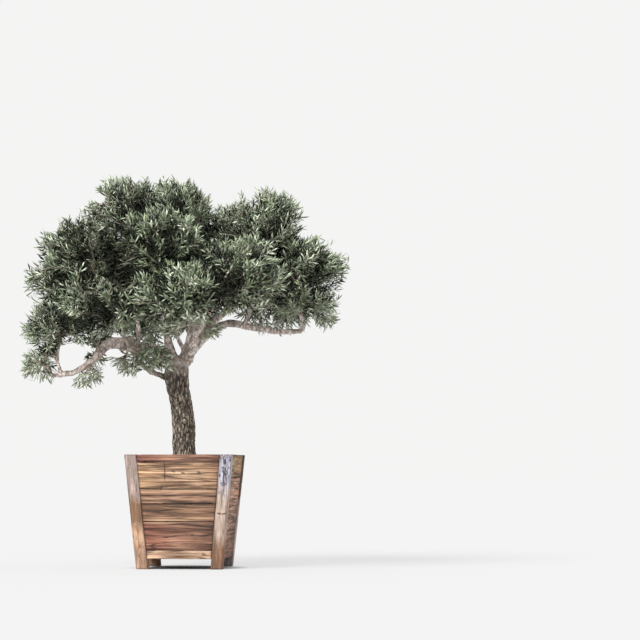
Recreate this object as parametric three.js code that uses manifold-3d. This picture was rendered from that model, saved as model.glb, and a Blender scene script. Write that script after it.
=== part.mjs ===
// A small olive tree in a tapered wooden planter box.
//
// Millimetres, +Z up. The origin is on the ground, midway between the planter's four feet, and the
// front of the tree faces -Y. The planter is built of splayed corner posts with boards between them
// and is filled with soil. The trunk stands on the soil and forks into boughs, and each bough ends
// where it enters a mass of foliage: a stem that branches into twigs with leaves.

import * as THREE from "three";
import { mergeVertices } from "three/addons/utils/BufferGeometryUtils.js";
import Module from "manifold-3d";

const wasm = await Module();
wasm.setup();

const V = (x, y, z) => new THREE.Vector3(x, y, z);
const mix = (a, b, t) => a + (b - a) * t;

// Driving sizes of the planter.
const PLANTER_HEIGHT = 590;
const HALF_AT_GROUND = 224;
const HALF_AT_RIM = 280;
const POST = 62;
const BOARD_THICKNESS = 22;
const BOARD_RECESS = 4;
const BOARD_SEAM = 0.6;
const FEET = 52;
const SOIL_BELOW_RIM = 38;
const GAP = 0.3;

// Board widths from the rim down. The front has six boards, the other sides four.
const FRONT_BOARDS = [41, 136, 77, 92, 146, 46];
const SIDE_BOARDS = [118, 148, 127, 145];

// Driving sizes of the wood.
const LIMB_GAP = 0.4;
const TRUNK_SUNK = 20;
const TRUNK_SIDES = 14;
const TRUNK_STEPS = 16;
const LIMB_SIDES = 8;
const STEPS_PER_BEND = 1.8;

// Driving sizes of the crown. Each leaf stands for a whole spray.
const LEAF_SHARES = [0.34, 0.56, 0.78, 0.96];
const LEAF_LENGTH = 165;
const SHORTEST_LEAF = 0.75;
const LEAF_WIDTH = 60;
const LEAF_THICKNESS = 8;
const LEAF_WIDEST = 0.42;
const LEAF_ANGLE = 0.85;
const LEAF_TURN = 0.5;
const LONGEST_END_LEAF = 0.6;
const LEAF_ROOM = 24;
const FULL_SIZE = 220;
const ROOT_DEPTH = 2;
const STEM_RADIUS = 10;
const STEM_SIDES = 5;
const STEM_BARE = 0.3;
const STEM_LEFT = 0.98;
const STEM_STOPS = 0.12;
const STEM_ARCH = 12;
const STEM_BEADS = 12;
const TWIG_RADIUS = 5;
const TWIG_TIP_RADIUS = 4;
const TWIG_WOBBLE = 0.35;
const SPACE_MARGIN = 3;
const TIP_MARGIN = SPACE_MARGIN + LEAF_THICKNESS / 2 + 1;
const SIGHT_MARGIN = 4;
const LIMB_ROOM = 6;
const BALL_SPACING = 12;
const FIRST_SEED = 11;
const SEED_STEP = 7;

const SOIL_TOP = PLANTER_HEIGHT - SOIL_BELOW_RIM;
const SPLAY = (HALF_AT_RIM - HALF_AT_GROUND) / PLANTER_HEIGHT;

const COLOURS = {
  board: 0x8a6446,
  post: 0x9a8a80,
  floor: 0x6b5140,
  soil: 0x3a2c22,
  bark: 0x6a5a4c,
  bough: 0x9c8a7c,
  leaf: 0x5d6e55,
};

function material(name) {
  return new THREE.MeshStandardMaterial({ color: COLOURS[name], roughness: 0.85, metalness: 0 });
}

const tree = new THREE.Group();

function add(name, geometry, colour) {
  const mesh = new THREE.Mesh(geometry, material(colour));
  mesh.name = name;
  tree.add(mesh);
  return mesh;
}

// Solids for cutting and joining.
function toSolid(geometry) {
  const bare = geometry.index ? geometry.toNonIndexed() : geometry.clone();
  bare.deleteAttribute("normal");
  bare.deleteAttribute("uv");
  const merged = mergeVertices(bare, 1e-4);
  return new wasm.Manifold(
    new wasm.Mesh({
      numProp: 3,
      vertProperties: merged.attributes.position.array,
      triVerts: new Uint32Array(merged.index.array),
    }),
  );
}

function toGeometry(solid) {
  const mesh = solid.getMesh();
  const geometry = new THREE.BufferGeometry();
  geometry.setAttribute("position", new THREE.BufferAttribute(mesh.vertProperties, 3));
  geometry.setIndex(new THREE.BufferAttribute(mesh.triVerts, 1));
  geometry.computeVertexNormals();
  return geometry;
}

function largestPiece(solid) {
  return solid.decompose().reduce((a, b) => (a.volume() >= b.volume() ? a : b));
}

// The planter: every piece is drawn at its ground size, and then leans outwards with height.
function splayed(geometry) {
  const p = geometry.attributes.position;
  for (let i = 0; i < p.count; i++) {
    const lean = SPLAY * p.getZ(i);
    p.setX(i, p.getX(i) + Math.sign(p.getX(i)) * lean);
    p.setY(i, p.getY(i) + Math.sign(p.getY(i)) * lean);
  }
  return geometry;
}

function block(x0, x1, y0, y1, z0, z1) {
  const g = new THREE.BoxGeometry(x1 - x0, y1 - y0, z1 - z0);
  return g.translate((x0 + x1) / 2, (y0 + y1) / 2, (z0 + z1) / 2);
}

function buildPosts() {
  const inner = HALF_AT_GROUND - POST;
  const corners = { front_left: [-1, -1], front_right: [1, -1], back_right: [1, 1], back_left: [-1, 1] };
  for (const [name, [sx, sy]] of Object.entries(corners)) {
    const x = [sx * inner, sx * HALF_AT_GROUND].sort((a, b) => a - b);
    const y = [sy * inner, sy * HALF_AT_GROUND].sort((a, b) => a - b);
    add("post_" + name, splayed(block(...x, ...y, 0, PLANTER_HEIGHT)), "post");
  }
}

function buildBoards() {
  const end = HALF_AT_GROUND - POST - GAP;
  const outer = HALF_AT_GROUND - BOARD_RECESS;
  const quarterTurns = { front: 0, right: 1, back: 2, left: 3 };
  for (const [side, turns] of Object.entries(quarterTurns)) {
    let top = PLANTER_HEIGHT;
    const widths = side === "front" ? FRONT_BOARDS : SIDE_BOARDS;
    widths.forEach((width, i) => {
      const low = i === widths.length - 1 ? FEET : top - width + BOARD_SEAM;
      const board = splayed(block(-end, end, -outer, -outer + BOARD_THICKNESS, low, top));
      add("board_" + side + "_" + (i + 1), board.rotateZ((turns * Math.PI) / 2), "board");
      top -= width;
    });
  }
}

// The inside of the planter is a square with a notch round each post.
function insideOutline() {
  const wide = HALF_AT_GROUND - BOARD_RECESS - BOARD_THICKNESS - GAP;
  const notch = HALF_AT_GROUND - POST - GAP;
  const points = [];
  for (let quarter = 0; quarter < 4; quarter++)
    for (const [x, y] of [[wide, notch], [notch, notch], [notch, wide]])
      points.push(new THREE.Vector2(x, y).rotateAround(new THREE.Vector2(), (quarter * Math.PI) / 2));
  return new THREE.Shape(points);
}

function insideLayer(low, high) {
  const layer = new THREE.ExtrudeGeometry(insideOutline(), { depth: high - low, bevelEnabled: false });
  return splayed(layer.translate(0, 0, low));
}

function buildFloorAndSoil() {
  add("floor_board", insideLayer(FEET, FEET + BOARD_THICKNESS), "floor");
  add("soil", insideLayer(FEET + BOARD_THICKNESS + GAP, SOIL_TOP), "soil");
}

// The wood: a limb is a cylinder bent along a curve, with a radius for each share of its length.
function limbGeometry(points, radiusAt, sides, steps) {
  const curve = new THREE.CatmullRomCurve3(points, false, "centripetal");
  const frames = curve.computeFrenetFrames(steps, false);
  const g = new THREE.CylinderGeometry(1, 1, 1, sides, steps);
  const p = g.attributes.position;
  for (let i = 0; i < p.count; i++) {
    const step = Math.round((p.getY(i) + 0.5) * steps);
    const t = step / steps;
    const at = curve.getPointAt(t);
    at.addScaledVector(frames.normals[step], p.getX(i) * radiusAt(t));
    at.addScaledVector(frames.binormals[step], -p.getZ(i) * radiusAt(t));
    p.setXYZ(i, at.x, at.y, at.z);
  }
  return g;
}

// A radius that goes evenly through each size in turn along the limb.
function taper(...radii) {
  return (t) => {
    const place = Math.min(t, 0.9999) * (radii.length - 1);
    const before = Math.floor(place);
    return mix(radii[before], radii[before + 1], place - before);
  };
}

// The trunk leans a little, flares at its foot, and rounds off inside its fork. It is drawn from
// below the soil and cut flat where it stands on it.
const TRUNK_PATH = [
  V(-6, 0, SOIL_TOP - TRUNK_SUNK),
  V(-10, -1, 640),
  V(-12, -2, 740),
  V(-23, -3, 850),
  V(-43, -6, 950),
  V(-48, -6, 1030),
  V(-30, -4, 1105),
];

const TRUNK_RADII = [76, 61, 61, 63, 59, 58, 63, 67, 45];

const LEFT_BEND = V(-474, -70, 1096);
const LEFT_HOOK = V(-650, -97, 1014);
const RIGHT_BEND = V(604, 90, 1244);

const LEFT_PATH = [
  V(-48, -4, 1072),
  V(-140, -20, 1130),
  V(-240, -36, 1148),
  V(-340, -52, 1177),
  V(-412, -61, 1168),
  LEFT_BEND,
];
const LOW_LEFT_PATH = [V(-52, -6, 978), V(-123, -18, 1004), V(-194, -40, 1038), V(-270, -190, 1150)];
const CENTRE_LEFT_PATH = [V(-54, -8, 1075), V(-90, -13, 1165), V(-102, -14, 1240), V(-170, -20, 1600)];
const CENTRE_RIGHT_PATH = [
  V(-20, -2, 1075),
  V(12, 1, 1142),
  V(31, 4, 1225),
  V(36, 6, 1400),
  V(50, 0, 1620),
];
const RIGHT_PATH = [
  V(-8, 0, 1085),
  V(60, 8, 1172),
  V(148, 22, 1252),
  V(225, 34, 1284),
  V(340, 51, 1262),
  V(500, 75, 1240),
  RIGHT_BEND,
];
const HOOK_PATH = [LEFT_BEND, V(-530, -80, 1051), V(-590, -88, 1021), LEFT_HOOK];
const UPTURN_PATH = [V(-652, -97, 1026), V(-668, -100, 1085), V(-664, -101, 1150)];
const TIP_PATH = [LEFT_HOOK, V(-690, -103, 1006), V(-718, -106, 1030), V(-730, -108, 1072)];
const RISER_PATH = [V(-257, -38, 1155), V(-250, -36, 1270), V(-330, -10, 1390), V(-450, 20, 1450)];
const RIGHT_UPTURN_PATH = [RIGHT_BEND, V(614, 91, 1284), V(590, 80, 1345)];
const RIGHT_RISER_PATH = [V(300, 44, 1268), V(358, 33, 1402), V(430, 20, 1500)];
const FRONT_RIGHT_PATH = [V(10, -8, 1085), V(64, -134, 1204), V(130, -290, 1260)];
const BACK_LEFT_PATH = [V(-62, 4, 1060), V(-96, 48, 1165), V(-150, 160, 1290), V(-230, 270, 1400)];
const BACK_RIGHT_PATH = [V(-4, 4, 1070), V(28, 50, 1160), V(120, 160, 1300), V(240, 280, 1410)];

// A bough's radii are spaced evenly along it, and its foot is seated on the wood before it.
const BOUGHS = [
  { name: "left", path: LEFT_PATH, radii: [38, 35, 33, 21] },
  { name: "left_hook", path: HOOK_PATH, radii: [21, 14] },
  { name: "left_tip", path: TIP_PATH, radii: [13, 9] },
  { name: "left_upturn", path: UPTURN_PATH, radii: [11, 9] },
  { name: "left_riser", path: RISER_PATH, radii: [14, 11] },
  { name: "low_left", path: LOW_LEFT_PATH, radii: [17, 11] },
  { name: "centre_left", path: CENTRE_LEFT_PATH, radii: [25, 13] },
  { name: "centre_right", path: CENTRE_RIGHT_PATH, radii: [35, 14] },
  { name: "right", path: RIGHT_PATH, radii: [26, 14] },
  { name: "right_upturn", path: RIGHT_UPTURN_PATH, radii: [13, 10] },
  { name: "right_riser", path: RIGHT_RISER_PATH, radii: [13, 10] },
  { name: "front_right", path: FRONT_RIGHT_PATH, radii: [28, 13] },
  { name: "back_left", path: BACK_LEFT_PATH, radii: [26, 14] },
  { name: "back_right", path: BACK_RIGHT_PATH, radii: [28, 14] },
];

// The crown: where each mass of foliage has its middle, the half sizes of its space along X, Y and
// Z, the bough that carries it, and how many twigs it starts from.
const CROWN_MIDDLE = V(-10, 0, 1500);
const MASSES = [
  { name: "left_low", centre: V(-650, -96, 1248), half: [232, 226, 198], foot: "left_upturn", twigs: 9 },
  { name: "left_tip", centre: V(-752, -115, 1060), half: [126, 120, 118], foot: "left_tip", twigs: 7 },
  { name: "left_hanging", centre: V(-515, -85, 1010), half: [114, 100, 100], foot: "left", twigs: 7 },
  { name: "left_mid", centre: V(-648, 30, 1500), half: [246, 270, 216], foot: "left_riser", twigs: 8 },
  { name: "left_high", centre: V(-566, 60, 1684), half: [280, 262, 200], foot: "left_riser", twigs: 9 },
  { name: "top_left", centre: V(-298, -70, 1878), half: [226, 250, 222], foot: "centre_left", twigs: 8 },
  { name: "top_right", centre: V(-48, -60, 1862), half: [188, 250, 218], foot: "centre_right", twigs: 7 },
  { name: "top_back", centre: V(-90, 260, 1842), half: [280, 262, 228], foot: "centre_right", twigs: 7 },
  { name: "right_high", centre: V(395, 40, 1795), half: [266, 262, 226], foot: "right_riser", twigs: 8 },
  { name: "right_mid", centre: V(620, 60, 1560), half: [270, 275, 210], foot: "right_riser", twigs: 7 },
  { name: "right_low", centre: V(604, 20, 1365), half: [240, 262, 200], foot: "right_upturn", twigs: 9 },
  { name: "front_spray", centre: V(-238, -170, 1110), half: [178, 140, 140], foot: "low_left", twigs: 9 },
  { name: "front_left", centre: V(-390, -370, 1385), half: [278, 262, 236], foot: "low_left", twigs: 8 },
  { name: "front_high", centre: V(-96, -400, 1650), half: [286, 250, 236], foot: "centre_right", twigs: 8 },
  { name: "front_low", centre: V(40, -500, 1390), half: [286, 262, 206], foot: "front_right", twigs: 8 },
  { name: "front_right", centre: V(330, -380, 1500), half: [280, 262, 236], foot: "front_right", twigs: 7 },
  { name: "back_left", centre: V(-470, 430, 1420), half: [286, 275, 242], foot: "back_left", twigs: 7 },
  { name: "back", centre: V(-20, 500, 1480), half: [286, 282, 242], foot: "back_left", twigs: 7 },
  { name: "back_right", centre: V(430, 420, 1450), half: [286, 275, 242], foot: "back_right", twigs: 7 },
  { name: "back_high", centre: V(215, 320, 1755), half: [270, 262, 230], foot: "back_right", twigs: 7 },
  { name: "middle", centre: V(-150, 120, 1310), half: [236, 220, 178], foot: "back_left", twigs: 8 },
];

// Seen from a place well in front of the tree, daylight shows through the crown at the windows,
// and nothing hangs before the bare stretches of the boughs, given as shares of their length.
const FRONT = V(1780, -11870, 505);
const WINDOWS = [
  { at: V(-575, -86, 1108), radius: 74 },
  { at: V(-40, -6, 1140), radius: 42 },
  { at: V(-231, 0, 998), radius: 34 },
];
const BARE = [
  { name: "left", from: 0.45, to: 1 },
  { name: "left_hook", from: 0, to: 1 },
  { name: "left_tip", from: 0, to: 0.3 },
  { name: "left_upturn", from: 0, to: 0.5 },
  { name: "centre_right", from: 0, to: 0.42 },
  { name: "centre_left", from: 0, to: 0.3 },
  { name: "low_left", from: 0, to: 0.2 },
  { name: "right", from: 0.12, to: 0.58 },
  { name: "right", from: 0.8, to: 1 },
  { name: "right_upturn", from: 0, to: 0.9 },
];

// A seeded stream of shares from 0 to 1, so that the same tree grows each time.
function seeded(seed) {
  let state = seed >>> 0;
  return () => {
    state = (Math.imul(state, 1664525) + 1013904223) >>> 0;
    return state / 4294967296;
  };
}

for (const mass of MASSES) {
  mass.size = (mass.half[0] + mass.half[1] + mass.half[2]) / 3;
  mass.leafScale = Math.min(1, mass.size / FULL_SIZE);
}

// A mass's own space: inside its ellipsoid, and on its side of the flat border with each neighbour.
function inSpace(mass, p, margin) {
  const d = p.clone().sub(mass.centre);
  const [a, b, c] = mass.half.map((size) => size - margin);
  if ((d.x / a) ** 2 + (d.y / b) ** 2 + (d.z / c) ** 2 > 1) return false;
  return MASSES.every((other) => {
    if (other === mass) return true;
    const here = d.lengthSq() - mass.size ** 2;
    const there = p.distanceToSquared(other.centre) - other.size ** 2;
    return here < there - 2 * margin * other.centre.distanceTo(mass.centre);
  });
}

// How far from a mass's middle its space reaches along a direction, by halving.
function reachAlong(mass, direction, margin) {
  let low = 0;
  let high = Math.max(...mass.half);
  for (let i = 0; i < 18; i++) {
    const middle = (low + high) / 2;
    if (inSpace(mass, mass.centre.clone().addScaledVector(direction, middle), margin)) low = middle;
    else high = middle;
  }
  return low;
}

// Every limb and stem as a row of balls, to keep leaves and twigs clear of it.
const limbs = [];

function recordLimb(name, points, radiusAt) {
  const curve = new THREE.CatmullRomCurve3(points, false, "centripetal");
  const count = Math.ceil(curve.getLength() / BALL_SPACING);
  const balls = Array.from({ length: count + 1 }, (_, i) => i / count).map((share) => ({
    at: curve.getPointAt(share),
    radius: radiusAt(share),
    share,
  }));
  limbs.push({ name, balls });
}

function distanceToSightLine(p, at) {
  const along = at.clone().sub(FRONT).normalize();
  const d = p.clone().sub(FRONT);
  return Math.sqrt(Math.max(0, d.lengthSq() - d.dot(along) ** 2));
}

function blocksSight(p, width) {
  if (WINDOWS.some((w) => distanceToSightLine(p, w.at) < w.radius + width)) return true;
  const depth = p.distanceTo(FRONT);
  return BARE.some(({ name, from, to }) => {
    const stretch = limbs.find((limb) => limb.name === "bough_" + name).balls;
    return stretch
      .filter((ball) => ball.share >= from && ball.share <= to && depth < ball.at.distanceTo(FRONT))
      .some((ball) => distanceToSightLine(p, ball.at) < ball.radius + width + SIGHT_MARGIN);
  });
}

function touchesLimb(p, width, own) {
  return limbs
    .filter((limb) => limb.name !== own)
    .some((limb) => limb.balls.some((ball) => p.distanceTo(ball.at) < ball.radius + width + LIMB_ROOM));
}

function isClear(mass, points, width) {
  const own = "stem_" + mass.name;
  return points.every(
    (p) => inSpace(mass, p, SPACE_MARGIN + width) && !touchesLimb(p, width, own) && !blocksSight(p, width),
  );
}

// Points spaced evenly on a straight line, between two shares of its length.
const beads = (from, to, low, high, count) =>
  Array.from({ length: count }, (_, i) => from.clone().lerp(to, mix(low, high, i / (count - 1))));

// The direction of the kth of n twigs, spread evenly over a ball by the golden angle.
function spread(k, n) {
  const z = 1 - (2 * k + 1) / n;
  const ring = Math.sqrt(1 - z * z);
  const turn = k * Math.PI * (3 - Math.sqrt(5));
  return V(ring * Math.cos(turn), ring * Math.sin(turn), z);
}

// The first twig grows away from the crown's middle, and the others fill the rest of the space.
function twigDirection(mass, k, chance) {
  const wobble = V(chance() - 0.5, chance() - 0.5, chance() - 0.5);
  if (k === 0) return mass.centre.clone().sub(CROWN_MIDDLE).normalize();
  return spread(k - 1, mass.twigs - 1).addScaledVector(wobble, TWIG_WOBBLE).normalize();
}

// Three directions square to each other: along a line, and two to its sides.
function frameAlong(line) {
  const side = line.clone().cross(V(0.3, 0.2, 1)).normalize();
  return { side, line, flat: side.clone().cross(line) };
}

// A twig leaves the stem in its turn, and stops one leaf short of the border of the space.
function placeTwig(mass, stemCurve, k, chance) {
  const out = twigDirection(mass, k, chance);
  const start = stemCurve.getPointAt(mix(STEM_BARE, STEM_LEFT, k / mass.twigs));
  const tip = mass.centre.clone().addScaledVector(out, reachAlong(mass, out, TIP_MARGIN));
  const frame = frameAlong(tip.clone().sub(start).normalize());
  const longest = LEAF_LENGTH * mass.leafScale;
  const short = Math.min(longest, LONGEST_END_LEAF * tip.distanceTo(start));
  const end = tip.clone().addScaledVector(frame.line, -short);
  return { start, end, tip, frame };
}

function twigSolid({ start, end, frame }) {
  const length = start.distanceTo(end);
  const g = new THREE.CylinderGeometry(TWIG_TIP_RADIUS, TWIG_RADIUS, length, 3, 1);
  const basis = new THREE.Matrix4().makeBasis(frame.side, frame.line, frame.flat);
  return toSolid(g.translate(0, length / 2, 0).applyMatrix4(basis.setPosition(start)));
}

// A leaf goes from its root to its tip, and its keel points to its face side.
function leafFrame({ root, tip, face }) {
  const y = tip.clone().sub(root).normalize();
  const x = y.clone().cross(face).normalize();
  return { x, y, z: x.clone().cross(y) };
}

function leafEdges(leaf) {
  const widest = leaf.root.clone().lerp(leaf.tip, LEAF_WIDEST);
  const { x } = leafFrame(leaf);
  return [-0.5, 0.5].map((share) => widest.clone().addScaledVector(x, share * leaf.scale * LEAF_WIDTH));
}

// A leaf is a pointed blade with a keel, and has six faces. Its root is sunk in the twig.
function leafSolid(leaf) {
  const outline = [new THREE.Vector2(0, 0), new THREE.Vector2(1, LEAF_WIDEST), new THREE.Vector2(0, 1)];
  const g = new THREE.LatheGeometry(outline, 3);
  const length = leaf.root.distanceTo(leaf.tip);
  g.scale((leaf.scale * LEAF_WIDTH) / Math.sqrt(3), length, (leaf.scale * LEAF_THICKNESS) / 1.5);
  const { x, y, z } = leafFrame(leaf);
  return toSolid(g.applyMatrix4(new THREE.Matrix4().makeBasis(x, y, z).setPosition(leaf.root)));
}

// Leaves stand out of the twig's three faces in turn, and one at its end reaches the border of the
// space.
function leavesOf({ start, end, tip, frame }, scale, chance) {
  const last = end.clone().addScaledVector(frame.line, -ROOT_DEPTH);
  const leaves = [{ root: last, tip, face: frame.flat, scale }];
  LEAF_SHARES.forEach((share, i) => {
    const root = start.clone().lerp(end, share);
    const around = ((2 * i + 1) * Math.PI) / 3 + LEAF_TURN * (chance() - 0.5);
    const length = scale * LEAF_LENGTH * mix(SHORTEST_LEAF, 1, chance());
    const away = frame.side.clone().multiplyScalar(Math.sin(around));
    away.addScaledVector(frame.flat, Math.cos(around));
    const way = frame.line.clone().multiplyScalar(Math.cos(LEAF_ANGLE));
    way.addScaledVector(away, Math.sin(LEAF_ANGLE));
    leaves.push({ root, tip: root.clone().addScaledVector(way, length), face: away, scale });
  });
  return leaves;
}

// A mass grows from its stem. A twig or leaf that would leave the space, touch a limb or another
// leaf, or hang in a clearing is skipped.
function growMass(mass, seed) {
  const chance = seeded(seed);
  const stemCurve = new THREE.CatmullRomCurve3(mass.stem, false, "centripetal");
  const pieces = [toSolid(limbGeometry(mass.stem, stemRadius, STEM_SIDES, 2))];
  const taken = stemCurve.getSpacedPoints(STEM_BEADS).map((at) => ({ at }));
  const twigs = [];
  for (let k = 0; k < mass.twigs; k++) {
    const twig = placeTwig(mass, stemCurve, k, chance);
    if (!isClear(mass, beads(twig.start, twig.end, 0.15, 1, 5), TWIG_RADIUS)) continue;
    twigs.push(twig);
    taken.push(...beads(twig.start, twig.end, 0.1, 1, 8).map((at) => ({ at, twig })));
    pieces.push(twigSolid(twig));
  }
  for (const twig of twigs)
    for (const leaf of leavesOf(twig, mass.leafScale, chance)) {
      const line = beads(leaf.root, leaf.tip, 0.25, 1, 5);
      if (!isClear(mass, [...line, ...leafEdges(leaf)], LEAF_THICKNESS / 2)) continue;
      const room = LEAF_ROOM * mass.leafScale;
      const others = taken.filter((bead) => bead.twig !== twig);
      if (others.some((bead) => line.some((at) => at.distanceTo(bead.at) < room))) continue;
      taken.push(...line.map((at) => ({ at })));
      pieces.push(leafSolid(leaf));
    }
  return pieces.reduce((a, b) => a.add(b));
}

function buildWood() {
  const soilSpace = block(-HALF_AT_RIM, HALF_AT_RIM, -HALF_AT_RIM, HALF_AT_RIM, 0, SOIL_TOP + GAP);
  const cutters = [toSolid(soilSpace)];
  const grow = (name, path, radiusAt, sides, steps, colour) => {
    const whole = toSolid(limbGeometry(path, radiusAt, sides, steps));
    const seated = cutters.reduce((a, b) => a.subtract(b), whole);
    add(name, toGeometry(largestPiece(seated)), colour);
    recordLimb(name, path, radiusAt);
    const tip = path.at(-1);
    const beyond = tip.clone().sub(path.at(-2)).setLength(LIMB_GAP);
    const longer = [...path.slice(0, -1), tip.clone().add(beyond)];
    cutters.push(toSolid(limbGeometry(longer, (t) => radiusAt(t) + LIMB_GAP, sides, steps)));
  };
  grow("trunk", TRUNK_PATH, taper(...TRUNK_RADII), TRUNK_SIDES, TRUNK_STEPS, "bark");
  for (const { name, path, radii } of BOUGHS) {
    const steps = Math.max(4, Math.round(path.length * STEPS_PER_BEND));
    grow("bough_" + name, path, taper(...radii), LIMB_SIDES, steps, "bough");
  }
  return cutters;
}

const stemRadius = taper(STEM_RADIUS, TWIG_RADIUS);

// All stems are laid first, so that no leaf grows through the stem of another mass.
function buildFoliage(cutters) {
  for (const mass of MASSES) {
    const foot = BOUGHS.find((bough) => bough.name === mass.foot).path.at(-1);
    const end = mass.centre.clone().lerp(foot, STEM_STOPS);
    mass.stem = [foot, foot.clone().lerp(end, 0.5).add(V(0, 0, STEM_ARCH)), end];
    recordLimb("stem_" + mass.name, mass.stem, stemRadius);
  }
  MASSES.forEach((mass, i) => {
    const seated = cutters.reduce((a, b) => a.subtract(b), growMass(mass, FIRST_SEED + SEED_STEP * i));
    add("foliage_" + mass.name, toGeometry(largestPiece(seated)), "leaf");
    cutters.push(toSolid(limbGeometry(mass.stem, (t) => stemRadius(t) + LIMB_GAP, STEM_SIDES, 2)));
  });
}

buildPosts();
buildBoards();
buildFloorAndSoil();
buildFoliage(buildWood());

export default tree;
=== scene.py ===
# %% [markdown]
# # An olive tree in a wooden planter
# This lesson dresses a plain model of a potted olive tree. The model is loaded first, as a fixed
# frame that says where each board, bough and mass of foliage is. The cells then replace its plain
# solids with finished pieces in the same places: weathered boards, posts with flaking paint,
# crumbly soil, wood with its bark, and a crown of some seventy thousand small leaves.

# %% Load the frame
import math
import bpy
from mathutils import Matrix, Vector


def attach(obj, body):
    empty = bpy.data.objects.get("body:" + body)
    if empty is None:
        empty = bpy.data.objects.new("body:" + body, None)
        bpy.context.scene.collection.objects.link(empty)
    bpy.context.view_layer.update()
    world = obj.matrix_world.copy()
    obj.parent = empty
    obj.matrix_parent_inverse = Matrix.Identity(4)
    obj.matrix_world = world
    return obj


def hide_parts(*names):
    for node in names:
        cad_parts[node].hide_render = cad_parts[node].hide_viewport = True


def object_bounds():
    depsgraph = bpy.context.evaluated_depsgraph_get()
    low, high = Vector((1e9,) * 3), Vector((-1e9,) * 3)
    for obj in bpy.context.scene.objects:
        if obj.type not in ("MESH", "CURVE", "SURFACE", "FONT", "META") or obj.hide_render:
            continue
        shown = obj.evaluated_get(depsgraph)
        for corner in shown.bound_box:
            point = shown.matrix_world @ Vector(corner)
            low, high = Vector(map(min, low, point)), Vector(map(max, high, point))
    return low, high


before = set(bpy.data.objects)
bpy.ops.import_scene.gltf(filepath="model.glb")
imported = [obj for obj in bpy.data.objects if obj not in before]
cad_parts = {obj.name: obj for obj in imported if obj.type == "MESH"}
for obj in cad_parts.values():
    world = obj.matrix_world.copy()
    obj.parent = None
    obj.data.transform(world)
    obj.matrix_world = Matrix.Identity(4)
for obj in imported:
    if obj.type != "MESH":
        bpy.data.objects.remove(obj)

from types import SimpleNamespace

import bmesh
import bpy
import numpy as np
from mathutils import Matrix, Quaternion, Vector, noise

FRAME_BOX = [list(corner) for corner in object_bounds()]
print("frame box, metres:", FRAME_BOX)

# %% [markdown]
# ## The camera
# The tree is seen from far away through a long lens, so its upright lines stay nearly parallel.
# The camera stands a little below the planter's rim and looks slightly upwards. It is turned so
# that the tree stands left of the middle of the picture.

# %% Camera
CAMERA_PLACE = (1.780, -11.867, 0.505)
CAMERA_TURN = math.radians(5.16)
CAMERA_PITCH = math.radians(3.80)
LENS = 127.9
FARTHEST = 500


def put_in_scene(name, data):
    """An object for some data, linked to the scene."""
    made = bpy.data.objects.new(name, data)
    bpy.context.scene.collection.objects.link(made)
    return made


camera = put_in_scene("camera", bpy.data.cameras.new("camera"))
camera.location = CAMERA_PLACE
camera.rotation_euler = (math.pi / 2 + CAMERA_PITCH, 0, CAMERA_TURN)
camera.data.lens = LENS
camera.data.clip_end = FARTHEST
bpy.context.scene.camera = camera
print("camera lens:", camera.data.lens, "mm")

# %% [markdown]
# ## Materials out of nodes
# Each finish is a small network of nodes. A helper that makes one node, sets its sockets and links
# whatever is another node's output keeps such a network as short as a formula. Colours are named
# by their screen values from 0 to 255, and turned into the linear light that the shader wants.

# %% Node helpers
MIX_SHARE, MIX_FIRST, MIX_SECOND, MIXED = 0, 6, 7, 2


def tone(*values):
    """A screen colour, 0 to 255, as linear light."""
    shares = [v / 255 for v in values]
    return (*[s / 12.92 if s <= 0.04045 else ((s + 0.055) / 1.055) ** 2.4 for s in shares], 1.0)


def add_node(tree, kind, sockets=None, **settings):
    """Makes a node. A socket's value is a plain value or another node's output."""
    made = tree.nodes.new("ShaderNode" + kind)
    for name, value in settings.items():
        setattr(made, name, value)
    for name, value in (sockets or {}).items():
        socket = made.inputs[name]
        if isinstance(value, bpy.types.NodeSocket):
            tree.links.new(value, socket)
        else:
            socket.default_value = value
    return made


def mix_colours(tree, share, first, second, blend="MIX"):
    """The two colours, mixed or multiplied by a share."""
    sockets = {MIX_SHARE: share, MIX_FIRST: first, MIX_SECOND: second}
    return add_node(tree, "Mix", sockets, data_type="RGBA", blend_type=blend).outputs[MIXED]


def multiply_colours(tree, colour, shade, strength=1.0):
    """The colour, darkened or lightened by a shade."""
    return mix_colours(tree, strength, colour, shade, "MULTIPLY")


def maths(tree, operation, *values):
    """The result of one step of arithmetic."""
    return add_node(tree, "Math", dict(enumerate(values)), operation=operation).outputs[0]


def stored(tree, name):
    """A value that is stored at each point of the mesh."""
    return add_node(tree, "Attribute", attribute_name=name).outputs["Fac"]


def ramp(tree, share, stops):
    """Turns a share into a colour by stops of (share, colour)."""
    made = add_node(tree, "ValToRGB", {"Fac": share})
    elements = made.color_ramp.elements
    while len(elements) < len(stops):
        elements.new(1)
    for element, (place, colour) in zip(elements, stops):
        element.position, element.color = place, colour
    return made.outputs["Color"]


def grey(value):
    return (value, value, value, 1)


def speckle(tree, coordinates, scale, detail=4.0, roughness=0.55, distortion=0.0):
    """A noise pattern, from 0 to 1."""
    sockets = {"Vector": coordinates, "Scale": scale, "Detail": detail,
               "Roughness": roughness, "Distortion": distortion}
    return add_node(tree, "TexNoise", sockets).outputs["Fac"]


def stretched(tree, coordinates, scale, offset=(0, 0, 0)):
    """Coordinates that are scaled by axis, so that a pattern on them turns long and thin."""
    sockets = {"Vector": coordinates, "Scale": scale, "Location": offset}
    return add_node(tree, "Mapping", sockets).outputs["Vector"]


def new_finish(name, roughness):
    """An empty finish: its node tree, its shader and the object's coordinates."""
    finish = bpy.data.materials.new(name)
    finish.use_nodes = True
    tree = finish.node_tree
    shader = tree.nodes["Principled BSDF"]
    shader.inputs["Roughness"].default_value = roughness
    return finish, tree, shader, add_node(tree, "TexCoord").outputs["Object"]


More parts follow.
